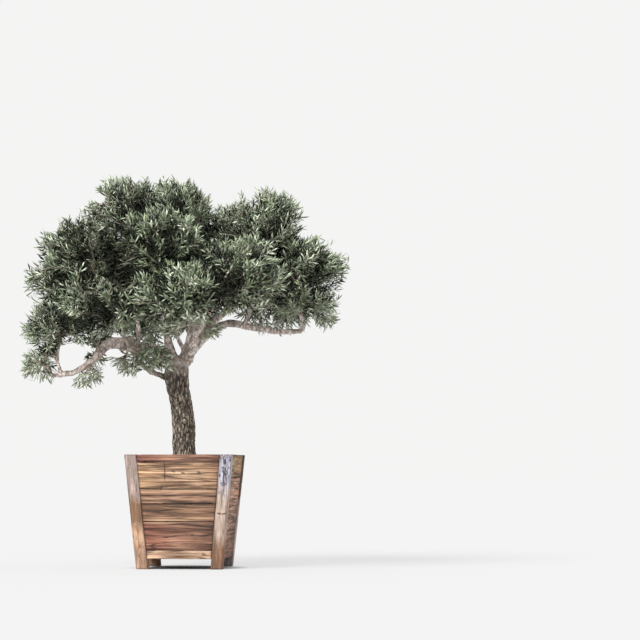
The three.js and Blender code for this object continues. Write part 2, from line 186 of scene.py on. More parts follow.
def raise_grain(tree, shader, height, depth, strength=1.0):
    """Lets a pattern tilt the light on the surface, as relief of this depth in metres would."""
    sockets = {"Height": height, "Distance": depth, "Strength": strength}
    bump = add_node(tree, "Bump", sockets)
    tree.links.new(bump.outputs["Normal"], shader.inputs["Normal"])


print("screen grey 128 as light:", round(tone(128)[0], 3))

# %% [markdown]
# ## Weathered wood
# The planter is made of old boards. Their colour changes from board to board and along each board, partly as
# painted shade.
# The grain runs lengthwise in streaks of three widths, with long dark splits between them, and dirt
# has settled along the edges. One finish function serves all boards and posts: it takes the colours
# along the piece, and stretches its noise along the grain. Knots, cracks and pale streaks are small
# ellipses, each mixed in at its own place. Where paint has flaked off a post, one more colour shows,
# dealt out by a noise pattern.

# %% The finish of boards and posts
# Each grain: its scale along and across the wood, its detail, and how dark and light it turns the colour.
GRAINS = [(2.2, 34, 6.0, 0.36, 1.45), (5.0, 105, 4.0, 0.34, 1.55), (7.0, 210, 3.0, 0.50, 1.25)]
GRAIN_STOPS = (0.33, 0.5, 0.67)
WARM_SHADE = (1.18, 0.96, 0.84)
GRAIN_ON_PAINT = 0.55
GRAIN_RELIEF = 0.0012
PIECE_STEP = (1.7, 0.9, 2.3)
COLOUR_WANDER = 0.08
SPLIT_ALONG, SPLIT_ACROSS = 1.5, 27
SPLIT_STOPS = [(0, grey(0.26)), (0.014, grey(0.42)), (0.034, grey(1))]
FLAKE_ALONG, FLAKE_ACROSS = 36, 120
FLAKE_BESIDE = -0.15
FLAKE_STARTS, FLAKE_FULL = 0.80, 0.88
FADE_BELOW, FADE_ABOVE = 0.03, 0.09
MARK_DEPTH = 0.3
DIRT_TONE = tone(52, 38, 30)
MARK_TONE, LINE_TONE, PALE_TONE = tone(54, 36, 28), tone(84, 40, 36), tone(206, 172, 138)
KNOT_RINGS = [(0, grey(0.9)), (0.35, grey(0.7)), (0.5, grey(0.2)), (0.65, grey(0.6)), (0.85, grey(0.1)),
              (1, grey(0))]
PLAIN_MARK = [(0, grey(0.92)), (0.55, grey(0.75)), (1, grey(0))]
FAINT_MARK = [(0, grey(0.75)), (0.6, grey(0.5)), (1, grey(0))]


def share_between(tree, value, low, high):
    """0 where the value is low, 1 where it is high."""
    sockets = {"Value": value, "From Min": low, "From Max": high}
    return add_node(tree, "MapRange", sockets).outputs["Result"]


def along_piece(tree, place, axis, low, high):
    """A share from 0 to 1 along the grain, with a wandering border between colours."""
    along = add_node(tree, "SeparateXYZ", {"Vector": place}).outputs[axis]
    waver = speckle(tree, place, scale=14.0, detail=5.0)
    shifted = maths(tree, "MULTIPLY_ADD", waver, COLOUR_WANDER, along)
    half = COLOUR_WANDER / 2
    return share_between(tree, shifted, low + half, high + half)


def grain_pattern(tree, place, axis, along, across, offset, detail, distortion=0.0):
    """A noise pattern, drawn out along the grain."""
    scale = tuple(along if i == axis else across for i in range(3))
    drawn_out = stretched(tree, place, scale, offset)
    return speckle(tree, drawn_out, scale=1.0, detail=detail, roughness=0.6, distortion=distortion)


def add_splits(tree, place, axis, colour, offset):
    """Long dark splits, where a pattern passes through its middle value."""
    pattern = grain_pattern(tree, place, axis, SPLIT_ALONG, SPLIT_ACROSS, offset, detail=2.0, distortion=0.5)
    off = maths(tree, "ABSOLUTE", maths(tree, "SUBTRACT", pattern, 0.5))
    return multiply_colours(tree, colour, ramp(tree, off, SPLIT_STOPS))


def add_flakes(tree, place, axis, colour, offset, flakes):
    """Paint that has flaked off above a level: most along the middle of a piece."""
    shown, amount, level = flakes
    patchy = grain_pattern(tree, place, axis, FLAKE_ALONG, FLAKE_ACROSS, offset, detail=6.0)
    worn = maths(tree, "MULTIPLY_ADD", stored(tree, "beside"), FLAKE_BESIDE, patchy)
    bare = ramp(tree, worn, [(FLAKE_STARTS - amount, grey(0)), (FLAKE_FULL - amount, grey(1))])
    height = add_node(tree, "SeparateXYZ", {"Vector": place}).outputs["Z"]
    above = share_between(tree, height, level - FADE_BELOW, level + FADE_ABOVE)
    return mix_colours(tree, maths(tree, "MULTIPLY", bare, above), colour, shown)


def add_mark(tree, place, colour, mark):
    """A knot, crack or pale streak: (centre, half width and height, turn, stops of its strength, tone)."""
    centre, (half_width, half_height), turn, stops, shown = mark
    sockets = {"Vector": place, "Location": centre, "Rotation": (0, turn, 0),
               "Scale": (half_width, MARK_DEPTH, half_height)}
    inside = add_node(tree, "Mapping", sockets, vector_type="TEXTURE").outputs["Vector"]
    away = add_node(tree, "VectorMath", {0: inside}, operation="LENGTH").outputs["Value"]
    return mix_colours(tree, ramp(tree, away, stops), colour, shown)


def weathered_wood(name, axis, span, stops, seed, marks=(), flakes=None):
    """Old wood. axis: its grain; stops: its colours over the span; flakes: (colour, how much, level)."""
    finish, tree, shader, place = new_finish(name, roughness=0.82)
    colour = ramp(tree, along_piece(tree, place, axis, *span), stops)
    offset = tuple(seed * step for step in PIECE_STEP)
    if flakes:
        colour = add_flakes(tree, place, axis, colour, offset, flakes)
    for along, across, detail, dark, light in GRAINS:
        pattern = grain_pattern(tree, place, axis, along, across, offset, detail, distortion=0.3)
        ends = (*[warmth * dark for warmth in WARM_SHADE], 1), grey(1), grey(light)
        shade = ramp(tree, pattern, list(zip(GRAIN_STOPS, ends)))
        colour = multiply_colours(tree, colour, shade, GRAIN_ON_PAINT if flakes else 1.0)
    if not flakes:
        colour = add_splits(tree, place, axis, colour, offset)
    for mark in marks:
        colour = add_mark(tree, place, colour, mark)
    colour = mix_colours(tree, stored(tree, "dirt"), colour, DIRT_TONE)
    tree.links.new(colour, shader.inputs["Base Color"])
    raise_grain(tree, shader, pattern, GRAIN_RELIEF, strength=0.7)
    return finish


print("streaks of grain:", len(GRAINS), "widths")

# %% [markdown]
# ## A board
# A board is a block with eased edges whose long faces carry the grain as real relief. The block
# starts as a cube, is scaled to size and bevelled, and then its long edges are cut into cells, so
# that each corner point of a cell can sink a little where the grain is soft. Relief only ever goes
# inwards, so that a board keeps to the space that it has in the frame.

# %% Helpers for boards
# Sizes of the planter that the frame uses too, in metres.
PLANTER_HEIGHT = 0.590
HALF_AT_GROUND = 0.224
HALF_AT_RIM = 0.280
POST = 0.062
BOARD_THICKNESS = 0.022
BOARD_RECESS = 0.004
SEAM = 0.0006
FEET = 0.052
SOIL_BELOW_RIM = 0.038
SOIL_TOP = PLANTER_HEIGHT - SOIL_BELOW_RIM
GAP = 0.0003
SPLAY = (HALF_AT_RIM - HALF_AT_GROUND) / PLANTER_HEIGHT
# Sizes of what only the finished pieces have.
EASED_EDGE = 0.0028
GRAIN_DEPTH = 0.0016
CELL_ALONG = 0.008
CELL_ACROSS = 0.0032
NEARLY_LONGEST = 0.9
RELIEF_ALONG, RELIEF_ACROSS, RELIEF_LEVEL = 6, 95, -0.15
WEAR_STEP = 3.1
CHIP_SCALE, CHIP_LEVEL, CHIP_DEPTH = 55, 0.25, 0.006
EDGE_WIDTH = 0.012
EDGE_DIRT, GRAIN_DIRT = 0.55, 0.35


def eased_block(low, high):
    """A block between two corners, with rounded edges."""
    low, high = Vector(low), Vector(high)
    bm = bmesh.new()
    bmesh.ops.create_cube(bm, size=1)
    bmesh.ops.scale(bm, vec=high - low, verts=bm.verts)
    bmesh.ops.translate(bm, vec=(low + high) / 2, verts=bm.verts)
    bmesh.ops.bevel(bm, geom=bm.edges[:], offset=EASED_EDGE, affect="EDGES", segments=2,
                    profile=0.5, material=-1)
    return bm


def cut_into_cells(bm, axis, cell):
    """Cuts all the long edges along one axis into cells."""
    def reach(edge):
        return abs((edge.verts[0].co - edge.verts[1].co)[axis])

    longest = max(reach(edge) for edge in bm.edges)
    edges = [edge for edge in bm.edges if reach(edge) > NEARLY_LONGEST * longest]
    cuts = int(longest / cell)
    if cuts:
        bmesh.ops.subdivide_edges(bm, edges=edges, cuts=cuts, use_grid_fill=True)


def layered_noise(place, layers):
    """Noise in layers, each twice as fine and half as strong as the one before."""
    return noise.fractal(place, 1.0, 2.0, layers)


def wear(bm, low, high, grain, seed):
    """Sinks the soft grain into the faces, and stores at each point its dirt and how far it is to a side."""
    dirt, beside = (bm.verts.layers.float.new(name) for name in ("dirt", "beside"))
    middle, half = (Vector(low) + Vector(high)) / 2, (Vector(high) - Vector(low)) / 2
    scale = Vector([RELIEF_ALONG if i == grain else RELIEF_ACROSS for i in range(3)])
    for v in bm.verts:
        p = v.co - middle
        place = Vector(p[i] * scale[i] for i in range(3)) + Vector((seed * WEAR_STEP, seed, 0))
        soft = max(0.0, layered_noise(place, 3) - RELIEF_LEVEL)
        chips = max(0.0, noise.noise(v.co * CHIP_SCALE + Vector((seed, 0, seed))) - CHIP_LEVEL)
        room = sorted(half[i] - abs(p[i]) for i in range(3))
        at_edge = max(0.0, 1 - room[1] / EDGE_WIDTH)
        v[dirt] = min(1.0, EDGE_DIRT * at_edge**2 + GRAIN_DIRT * soft)
        v[beside] = abs(p.x) / half.x
        depth = GRAIN_DEPTH * soft + CHIP_DEPTH * chips * at_edge
        for i in range(3):
            if i != grain and half[i] - abs(p[i]) < EASED_EDGE:
                v.co[i] -= math.copysign(depth, p[i])


def lean_outwards(bm):
    """Splays a piece that was drawn at its ground size: the planter widens with height."""
    for v in bm.verts:
        v.co.x += math.copysign(SPLAY * v.co.z, v.co.x)
        v.co.y += math.copysign(SPLAY * v.co.z, v.co.y)


def mesh_from(bm, name):
    """A mesh with the shape of a bmesh, which is freed."""
    mesh = bpy.data.meshes.new(name)
    bm.to_mesh(mesh)
    bm.free()
    return mesh


def place_mesh(name, mesh, finishes, nodes, smooth):
    """Sets a finished piece in place of the frame's own solids."""
    piece = put_in_scene(name, mesh)
    for finish in finishes:
        mesh.materials.append(finish)
    if smooth:
        mesh.shade_smooth()
    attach(piece, "root")
    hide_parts(*nodes)
    triangles = sum(len(face.vertices) - 2 for face in mesh.polygons)
    print(f"{name}: {triangles} triangles")


def set_piece(name, bm, finish, slot, *nodes, smooth=True):
    """Makes a piece of the planter or the wood out of its bmesh."""
    place_mesh(name, mesh_from(bm, name), [finish], nodes, smooth)


print("the planter's sides lean outwards by", round(math.degrees(math.atan(SPLAY)), 1), "degrees")

# %% [markdown]
# ## The planter's front
# Six boards of uneven width close the front. From the rim down they are reddish brown, pale tan
# with knots and a short joint, pinkish tan, brown with a pale lower edge, red to purple brown, and
# tan again. All are paler on the left and darker to the right, partly in the wood's own colour and
# partly as painted shade, since the light comes from the left. The front boards also carry the
# marks that show on them: knots, cracks and streaks, each at its own place on its board. The sides
# and the back have four boards each, in the same mixture of reclaimed wood. The boards differ only
# in size, colours and marks, so one function makes them all, in a loop over the four sides.

# %% Boards
FRONT_WIDTHS = (0.041, 0.136, 0.077, 0.092, 0.146, 0.046)
SIDE_WIDTHS = (0.118, 0.148, 0.127, 0.145)
BOARD_END = HALF_AT_GROUND - POST - GAP
BOARD_FACE = HALF_AT_GROUND - BOARD_RECESS

# Each board's tones run left, middle, right. The darker right ends are partly the wood's own colour and
# partly painted shade, as the light comes from the left.
RED = (tone(113, 68, 60), tone(146, 111, 91), tone(116, 78, 64))
TAN = (tone(182, 146, 112), tone(178, 146, 118), tone(142, 109, 83))
PINKISH = (tone(168, 131, 106), tone(155, 121, 99), tone(127, 97, 75))
BROWN = (tone(144, 109, 85), tone(126, 97, 76), tone(109, 80, 62))
PURPLE = (tone(142, 92, 75), tone(134, 99, 81), tone(108, 77, 62))
PALE = (tone(206, 170, 142), tone(202, 170, 142), tone(186, 154, 128))
OLIVE = (tone(172, 144, 104), tone(160, 128, 90), tone(140, 108, 78))
REDDISH = (tone(160, 116, 98), tone(176, 136, 112), tone(148, 106, 86))
FRONT_TONES = (RED, TAN, PINKISH, BROWN, PURPLE, PALE)
SIDE_TONES = (OLIVE, REDDISH, PINKISH, PURPLE)
CRACK = ((-0.089, -0.262, 0.420), (0.0035, 0.022), 0.36, PLAIN_MARK, MARK_TONE)
FRONT_MARKS = {
    1: [((-0.150, -0.274, 0.553), (0.110, 0.005), 0, PLAIN_MARK, LINE_TONE)],
    2: [((0.108, -0.267, 0.497), (0.016, 0.011), 0.6, KNOT_RINGS, MARK_TONE),
        ((0.025, -0.267, 0.495), (0.015, 0.005), 0.1, PLAIN_MARK, MARK_TONE),
        ((-0.025, -0.267, 0.503), (0.016, 0.008), 0.4, KNOT_RINGS, MARK_TONE),
        ((-0.069, -0.267, 0.503), (0.0038, 0.052), 0, PLAIN_MARK, LINE_TONE), CRACK],
    3: [CRACK, ((0.020, -0.259, 0.403), (0.260, 0.006), 0, FAINT_MARK, PALE_TONE)],
    4: [((-0.060, -0.243, 0.252), (0.170, 0.006), 0.01, PLAIN_MARK, PALE_TONE),
        ((0.120, -0.243, 0.263), (0.120, 0.004), -0.01, FAINT_MARK, PALE_TONE)],
    5: [((-0.110, -0.242, 0.238), (0.120, 0.005), 0, FAINT_MARK, PALE_TONE),
        ((-0.130, -0.230, 0.103), (0.100, 0.007), 0, PLAIN_MARK, LINE_TONE),
        ((0.070, -0.237, 0.178), (0.010, 0.006), 0, KNOT_RINGS, MARK_TONE)],
    6: [((0.128, -0.227, 0.078), (0.016, 0.010), 0.2, KNOT_RINGS, MARK_TONE)]}
JOINT_AT, JOINT_LOW, JOINT_HIGH = -0.069, 0.456, 0.549
JOINT_HALF, JOINT_DEPTH = 0.0022, 0.006
NEAR_JOINT, NEAR_FACE = 0.001, 0.004
JOINTED_BOARD = 2
SEEDS_A_SIDE = 7


# Colours from left to right along a board: the fade to the darker right end is partly painted shade.
def board_stops(tones):
    left, middle, right = tones
    return [(0.0, left), (0.45, middle), (0.72, middle), (1.0, right)]


def cut_joint(bm):
    """A narrow upright joint in the second board: three cuts, and the points of the middle one sunk."""
    for shift in (-JOINT_HALF, 0.0, JOINT_HALF):
        bmesh.ops.bisect_plane(bm, geom=bm.verts[:] + bm.edges[:] + bm.faces[:],
                               plane_co=(JOINT_AT + shift, 0, 0), plane_no=(1, 0, 0))
    for v in bm.verts:
        inside = abs(v.co.x - JOINT_AT) < NEAR_JOINT and JOINT_LOW < v.co.z < JOINT_HIGH
        if inside and v.co.y < -BOARD_FACE - SPLAY * v.co.z + NEAR_FACE:
            v.co.y += JOINT_DEPTH


def build_board(side, turns, number, low_z, top_z, tones, seed):
    low = (-BOARD_END, -BOARD_FACE, low_z)
    high = (BOARD_END, -BOARD_FACE + BOARD_THICKNESS, top_z)
    bm = eased_block(low, high)
    cut_into_cells(bm, 0, CELL_ALONG)
    cut_into_cells(bm, 2, CELL_ACROSS)
    wear(bm, low, high, 0, seed)
    lean_outwards(bm)
    if side == "front" and number == JOINTED_BOARD:
        cut_joint(bm)
    turned = Matrix.Rotation(turns * math.pi / 2, 3, "Z")
    bmesh.ops.rotate(bm, cent=(0, 0, 0), matrix=turned, verts=bm.verts)
    reach = BOARD_END + SPLAY * top_z
    marks = FRONT_MARKS[number] if side == "front" else ()
    finish = weathered_wood(f"{side}_board_{number}_wood", turns % 2, (-reach, reach), board_stops(tones),
                            seed, marks)
    set_piece(f"{side}_plank_{number}", bm, finish, "boards", f"board_{side}_{number}")


for turns, side in enumerate(("front", "right", "back", "left")):
    top = PLANTER_HEIGHT
    widths = FRONT_WIDTHS if side == "front" else SIDE_WIDTHS
    for i, width in enumerate(widths):
        bottom = FEET if i == len(widths) - 1 else top - width + SEAM
        tones = FRONT_TONES[i] if side == "front" else SIDE_TONES[(i + turns - 1) % len(SIDE_TONES)]
        build_board(side, turns, i + 1, bottom, top, tones, SEEDS_A_SIDE * turns + i)
        top -= width

# %% [markdown]
# ## The corner posts
# The posts carry remains of paint. The left front post is pinkish grey above and bare brown wood
# below, the right one blue-white with dark specks, then pinkish white, and brown at its foot. A
# post is made like a board that stands on end, with its grain upright, and has one more colour for
# what shows where its paint has flaked off.

# %% Posts
PINK_GREY = tone(174, 156, 148)
BARE_BROWN = tone(126, 96, 72)
FOOT_TAN = tone(188, 152, 126)
BLUE_WHITE = tone(172, 169, 178)
PINK_WHITE = tone(178, 158, 144)
FOOT_BROWN = tone(128, 96, 74)
FOOT_GREY = tone(120, 116, 120)
DARK_WOOD = tone(84, 62, 48)
NAVY = tone(70, 70, 86)
POST_STOPS = {
    "front_left": [(0, FOOT_TAN), (0.3, FOOT_TAN), (0.42, BARE_BROWN), (0.56, BARE_BROWN),
                   (0.68, PINK_GREY), (1, PINK_GREY)],
    "front_right": [(0, FOOT_BROWN), (0.17, FOOT_BROWN), (0.3, PINK_WHITE), (0.6, PINK_WHITE),
                    (0.78, BLUE_WHITE), (1, BLUE_WHITE)],
    "back_right": [(0, FOOT_GREY), (0.16, PINK_GREY), (0.5, PINK_GREY), (0.62, DARK_WOOD),
                   (1, DARK_WOOD)],
    "back_left": [(0, FOOT_BROWN), (0.4, BARE_BROWN), (0.7, PINK_GREY), (1, PINK_GREY)],
}
POST_FLAKES = {"front_left": (BARE_BROWN, 0.27, 0), "front_right": (NAVY, 0.37, 0.37),
               "back_right": (DARK_WOOD, 0.32, 0), "back_left": (DARK_WOOD, 0.30, 0)}
POST_MARKS = {"front_right": [((0.212, -0.251, 0.287), (0.017, 0.0065), 0.1, PLAIN_MARK, MARK_TONE),
                              ((0.236, -0.251, 0.286), (0.016, 0.0055), -0.2, PLAIN_MARK, MARK_TONE),
                              ((0.225, -0.255, 0.350), (0.0030, 0.060), 0.09, FAINT_MARK, MARK_TONE)]}
FIRST_POST_SEED = 31
CORNERS = {"front_left": (-1, -1), "front_right": (1, -1), "back_right": (1, 1), "back_left": (-1, 1)}


def build_post(name, sx, sy, seed):
    inner = HALF_AT_GROUND - POST
    xs, ys = sorted((sx * inner, sx * HALF_AT_GROUND)), sorted((sy * inner, sy * HALF_AT_GROUND))
    low, high = (xs[0], ys[0], 0), (xs[1], ys[1], PLANTER_HEIGHT)
    bm = eased_block(low, high)
    cut_into_cells(bm, 2, CELL_ALONG)
    cut_into_cells(bm, 0, CELL_ACROSS)
    cut_into_cells(bm, 1, CELL_ACROSS)
    wear(bm, low, high, 2, seed)
    lean_outwards(bm)
    finish = weathered_wood(f"{name}_post_wood", 2, (0, PLANTER_HEIGHT), POST_STOPS[name], seed,
                            marks=POST_MARKS.get(name, ()), flakes=POST_FLAKES[name])
    set_piece(f"{name}_post", bm, finish, "posts", f"post_{name}")


for i, (name, (sx, sy)) in enumerate(CORNERS.items()):
    build_post(name, sx, sy, FIRST_POST_SEED + i)

# %% [markdown]
# ## The floor board
# The floor board shows only from below, between the feet. Its shape in the frame is right, so it
# stays, and only gets the finish of plain dark wood.

# %% Floor board
FLOOR_BOARD_SPAN = (-0.2, 0.2)
FLOOR_BOARD_SEED = 5
floor_finish = weathered_wood("floor_board_wood", 0, FLOOR_BOARD_SPAN, board_stops([DARK_WOOD] * 3),
                              FLOOR_BOARD_SEED)
floor_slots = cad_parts["floor_board"].data.materials
floor_slots.clear()
floor_slots.append(floor_finish)
print("floor board:", floor_finish.name)

# %% [markdown]
# ## The soil
# Potting soil is an uneven crust of crumbs. A fine grid with a notch at each post is given a
# thickness, its top is raised and sunk by noise, and some four hundred crumbs lie on it. A crumb is
# a small ball of few faces, pushed out of shape, because so many of them are needed.

# %% Soil
INSIDE = HALF_AT_GROUND - BOARD_RECESS - BOARD_THICKNESS - GAP + SPLAY * SOIL_TOP
NOTCH = HALF_AT_GROUND - POST - GAP + SPLAY * SOIL_TOP
SOIL_DEPTH = 0.05
SOIL_RELIEF = 0.007
CRUMBS = 420
CRUMB_SIZES, CRUMB_SHAPES, CRUMB_SHOWN = (0.0015, 0.005), (0.6, 1.2), 0.3
LUMP_SCALE, LUMP_SHARE = 22, 0.5
HEAP_SPREAD, HEAP_SHARE = 0.012, 0.6
SOIL_CELLS = 90
SOIL_SEED = 5
SAME_LEVEL = 0.001
SOIL_GRAIN = 0.002


def soil_finish():
    finish, tree, shader, place = new_finish("potting_soil", roughness=0.95)
    grains = speckle(tree, place, scale=160.0, detail=6.0, roughness=0.7)
    patches = speckle(tree, place, scale=18.0, detail=3.0)
    crumbly = ramp(tree, grains, [(0.3, tone(38, 28, 22)), (0.55, tone(74, 56, 44)),
                                  (0.75, tone(112, 90, 70))])
    colour = mix_colours(tree, patches, crumbly, tone(56, 42, 34))
    tree.links.new(colour, shader.inputs["Base Color"])
    raise_grain(tree, shader, grains, SOIL_GRAIN)
    return finish


def soil_height(x, y):
    """The level of the crust at a place: lumpy, and heaped up round the trunk."""
    lumps = layered_noise(Vector((x * LUMP_SCALE, y * LUMP_SCALE, 3.0)), 5)
    heap = math.exp(-(x * x + y * y) / HEAP_SPREAD)
    return SOIL_TOP - SOIL_RELIEF * (1 - LUMP_SHARE * lumps - HEAP_SHARE * heap)


def build_soil():
    bm = bmesh.new()
    bmesh.ops.create_grid(bm, x_segments=SOIL_CELLS, y_segments=SOIL_CELLS, size=INSIDE)
    corner = [v for v in bm.verts if abs(v.co.x) > NOTCH and abs(v.co.y) > NOTCH]
    bmesh.ops.delete(bm, geom=corner, context="VERTS")
    bmesh.ops.solidify(bm, geom=bm.faces[:], thickness=SOIL_DEPTH)
    bmesh.ops.recalc_face_normals(bm, faces=bm.faces[:])
    level = max(v.co.z for v in bm.verts)
    for v in bm.verts:
        top = v.co.z > level - SAME_LEVEL
        v.co.z = soil_height(v.co.x, v.co.y) if top else SOIL_TOP - SOIL_DEPTH
    chance = np.random.default_rng(SOIL_SEED)
    for _ in range(CRUMBS):
        x, y = chance.uniform(-NOTCH, NOTCH, 2)
        size = chance.uniform(*CRUMB_SIZES)
        shape = Matrix.Diagonal((*chance.uniform(*CRUMB_SHAPES, 3), 1))
        height = min(SOIL_TOP - size, soil_height(x, y) + CRUMB_SHOWN * size)
        place = Matrix.Translation((x, y, height))
        turn = Quaternion(chance.uniform(-1, 1, 4)).normalized().to_matrix().to_4x4()
        bmesh.ops.create_icosphere(bm, subdivisions=1, radius=size, matrix=place @ turn @ shape)
    set_piece("soil_crust", bm, soil_finish(), "soil", "soil", smooth=False)


build_soil()

# %% [markdown]
# ## Where the limbs run
# The frame's trunk and boughs follow smooth curves through a few points. The same points and radii
# are repeated here in millimetres, because the curves also say where twigs and leaves may not grow.
# Only the thin twig that crosses the fork is new. The curve is a centripetal Catmull-Rom curve: it
# passes through every point without overshooting.

# %% Limb curves
MM = 0.001
LEFT_BEND = (-474, -70, 1096)
LEFT_HOOK = (-650, -97, 1014)
RIGHT_BEND = (604, 90, 1244)
BALL_SPACING, LEAST_BALLS = 0.010, 6
CURVE_STEPS = 24

TRUNK = ("trunk", [76, 61, 61, 63, 59, 58, 63, 67, 45],
         [(-6, 0, 532), (-10, -1, 640), (-12, -2, 740), (-23, -3, 850), (-43, -6, 950),
          (-48, -6, 1030), (-30, -4, 1105)])
BOUGHS = [
    ("left", [38, 35, 33, 21], [(-48, -4, 1072), (-140, -20, 1130), (-240, -36, 1148),
                                (-340, -52, 1177), (-412, -61, 1168), LEFT_BEND]),
    ("left_hook", [21, 14], [LEFT_BEND, (-530, -80, 1051), (-590, -88, 1021), LEFT_HOOK]),
    ("left_tip", [13, 9], [LEFT_HOOK, (-690, -103, 1006), (-718, -106, 1030), (-730, -108, 1072)]),
    ("left_upturn", [11, 9], [(-652, -97, 1026), (-668, -100, 1085), (-664, -101, 1150)]),
    ("left_riser", [14, 11], [(-257, -38, 1155), (-250, -36, 1270), (-330, -10, 1390), (-450, 20, 1450)]),
    ("low_left", [17, 11], [(-52, -6, 978), (-123, -18, 1004), (-194, -40, 1038), (-270, -190, 1150)]),
    ("centre_left", [25, 13], [(-54, -8, 1075), (-90, -13, 1165), (-102, -14, 1240), (-170, -20, 1600)]),
    ("centre_right", [35, 14], [(-20, -2, 1075), (12, 1, 1142), (31, 4, 1225), (36, 6, 1400), (50, 0, 1620)]),
    ("right", [26, 14], [(-8, 0, 1085), (60, 8, 1172), (148, 22, 1252), (225, 34, 1284), (340, 51, 1262),
                         (500, 75, 1240), RIGHT_BEND]),
    ("right_upturn", [13, 10], [RIGHT_BEND, (614, 91, 1284), (590, 80, 1345)]),
    ("right_riser", [13, 10], [(300, 44, 1268), (358, 33, 1402), (430, 20, 1500)]),
    ("front_right", [28, 13], [(10, -8, 1085), (64, -134, 1204), (130, -290, 1260)]),
    ("back_left", [26, 14], [(-62, 4, 1060), (-96, 48, 1165), (-150, 160, 1290), (-230, 270, 1400)]),
    ("back_right", [28, 14], [(-4, 4, 1070), (28, 50, 1160), (120, 160, 1300), (240, 280, 1410)]),
]
FORK_TWIG = ("fork_twig", [12, 9], [(-4, -6, 1116), (-24, -10, 1162), (-47, -16, 1214), (-60, -24, 1262)])


def read_off(places, along, path):
    """The points of a path at some places along it, between its own points."""
    return np.column_stack([np.interp(places, along, column) for column in path.T])


def smooth_path(points, count):
    """A centripetal Catmull-Rom curve through the points, cut into count equal lengths."""
    p = np.array(points, float)
    p = np.vstack([2 * p[0] - p[1], p, 2 * p[-1] - p[-2]])
    t = np.linspace(0, 1, CURVE_STEPS, endpoint=False)[:, None]
    fine = []
    for a, b, c, d in zip(p, p[1:], p[2:], p[3:]):
        before, here, after = (np.linalg.norm(v) ** 0.5 for v in (b - a, c - b, d - c))
        leave = (b - a) / before - (c - a) / (before + here) + (c - b) / here
        arrive = (c - b) / here - (d - b) / (here + after) + (d - c) / after
        leave, arrive = leave * here, arrive * here
        bend = 3 * (c - b) - 2 * leave - arrive
        fine.append(b + leave * t + bend * t**2 + (2 * (b - c) + leave + arrive) * t**3)
    fine = np.vstack([*fine, p[-2]])
    along = np.concatenate([[0], np.cumsum(np.linalg.norm(np.diff(fine, axis=0), axis=1))])
    return read_off(np.linspace(0, along[-1], count + 1), along, fine)


def make_limb(name, radii, points):
    """A limb as evenly spaced balls: their places, radii and shares of its length."""
    rough = np.array(points, float) * MM
    length = np.linalg.norm(np.diff(rough, axis=0), axis=1).sum()
    path = smooth_path(rough, max(LEAST_BALLS, round(length / BALL_SPACING)))
    share = np.linspace(0, 1, len(path))
    radius = np.interp(share, np.linspace(0, 1, len(radii)), radii) * MM
    return SimpleNamespace(name=name, path=path, radius=radius, share=share)


LIMBS = [make_limb(*limb) for limb in (TRUNK, *BOUGHS, FORK_TWIG)]
print("limbs:", len(LIMBS), "balls:", sum(len(limb.path) for limb in LIMBS))

# %% [markdown]
# ## One skin for trunk and boughs
# On a real tree the boughs flow out of the trunk with no seam. Each limb is first swept on its own:
# a circle is extruded ring by ring along its curve and closed at both ends. Gnarls are balls set on
# the limbs. A voxel remesh then merges everything into one skin, and smoothing rounds the forks. A
# Boolean union could join the limbs too, but would leave a crease at each fork.

# %% Sweep the limbs
LIMB_SIDES = 16
SKIN_CELL = 0.0036
GNARLS = [((-0.292, -0.062, 1.188), 0.030), ((-0.268, -0.040, 1.150), 0.034),
          ((-0.330, -0.066, 1.150), 0.020), ((-0.395, -0.058, 1.188), 0.018),
          ((-0.030, -0.045, 0.905), 0.026), ((0.000, -0.050, 0.760), 0.024),
          ((-0.655, -0.098, 1.010), 0.017)]
SMOOTHINGS = 6


def sweep(bm, path, radius, sides):
    """A closed limb: one circle, extruded from ring to ring along the path."""
    ways = np.gradient(path, axis=0)
    way = Vector(ways[0])
    turn = Vector((0, 0, 1)).rotation_difference(way)
    placed = Matrix.Translation(path[0]) @ turn.to_matrix().to_4x4() @ Matrix.Scale(radius[0], 4)
    circle = bmesh.ops.create_circle(bm, segments=sides, radius=1, matrix=placed)["verts"]
    edges = list({edge for v in circle for edge in v.link_edges})
    bmesh.ops.contextual_create(bm, geom=edges)
    for at, next_way, size in zip(path[1:], ways[1:], radius[1:]):
        turn = way.rotation_difference(Vector(next_way)) @ turn
        way = Vector(next_way)
        target = Matrix.Translation(at) @ turn.to_matrix().to_4x4() @ Matrix.Scale(size, 4)
        grown = bmesh.ops.extrude_edge_only(bm, edges=edges)["geom"]
        ring = [part for part in grown if isinstance(part, bmesh.types.BMVert)]
        edges = [part for part in grown if isinstance(part, bmesh.types.BMEdge)
                 and all(v in ring for v in part.verts)]
        bmesh.ops.transform(bm, matrix=target @ placed.inverted(), verts=ring)
        placed = target
    bmesh.ops.contextual_create(bm, geom=edges)


def merged_skin():
    """All limbs and gnarls, remeshed into one closed skin."""
    bm = bmesh.new()
    for limb in LIMBS:
        sweep(bm, limb.path, limb.radius, LIMB_SIDES)
    for centre, size in GNARLS:
        bmesh.ops.create_icosphere(bm, subdivisions=3, radius=size, matrix=Matrix.Translation(centre))
    bmesh.ops.recalc_face_normals(bm, faces=bm.faces[:])
    carrier = put_in_scene("limbs_apart", mesh_from(bm, "limbs_apart"))
    remesh = carrier.modifiers.new("skin", "REMESH")
    remesh.mode, remesh.voxel_size = "VOXEL", SKIN_CELL
    seen = carrier.evaluated_get(bpy.context.evaluated_depsgraph_get())
    skin = bpy.data.meshes.new_from_object(seen)
    bpy.data.objects.remove(carrier)
    return skin


skin = merged_skin()
print("skin faces:", len(skin.polygons))

# %% [markdown]
# ## Bark
# An old olive trunk has upright plates of bark with dark cracks between them, while its boughs are
# smooth and pale, with lumps and fine wrinkles. Where a long thin noise pattern passes through
# zero it draws lines like such cracks. The skin sinks along those lines, most on the trunk. How far
# a point lies in a crack is kept as an attribute, so that the finish can darken the cracks.

# %% Bark relief
ROUGH_LEVELS = (0.98, 1.13)
ROUGH_REACH = (0.085, 0.13)
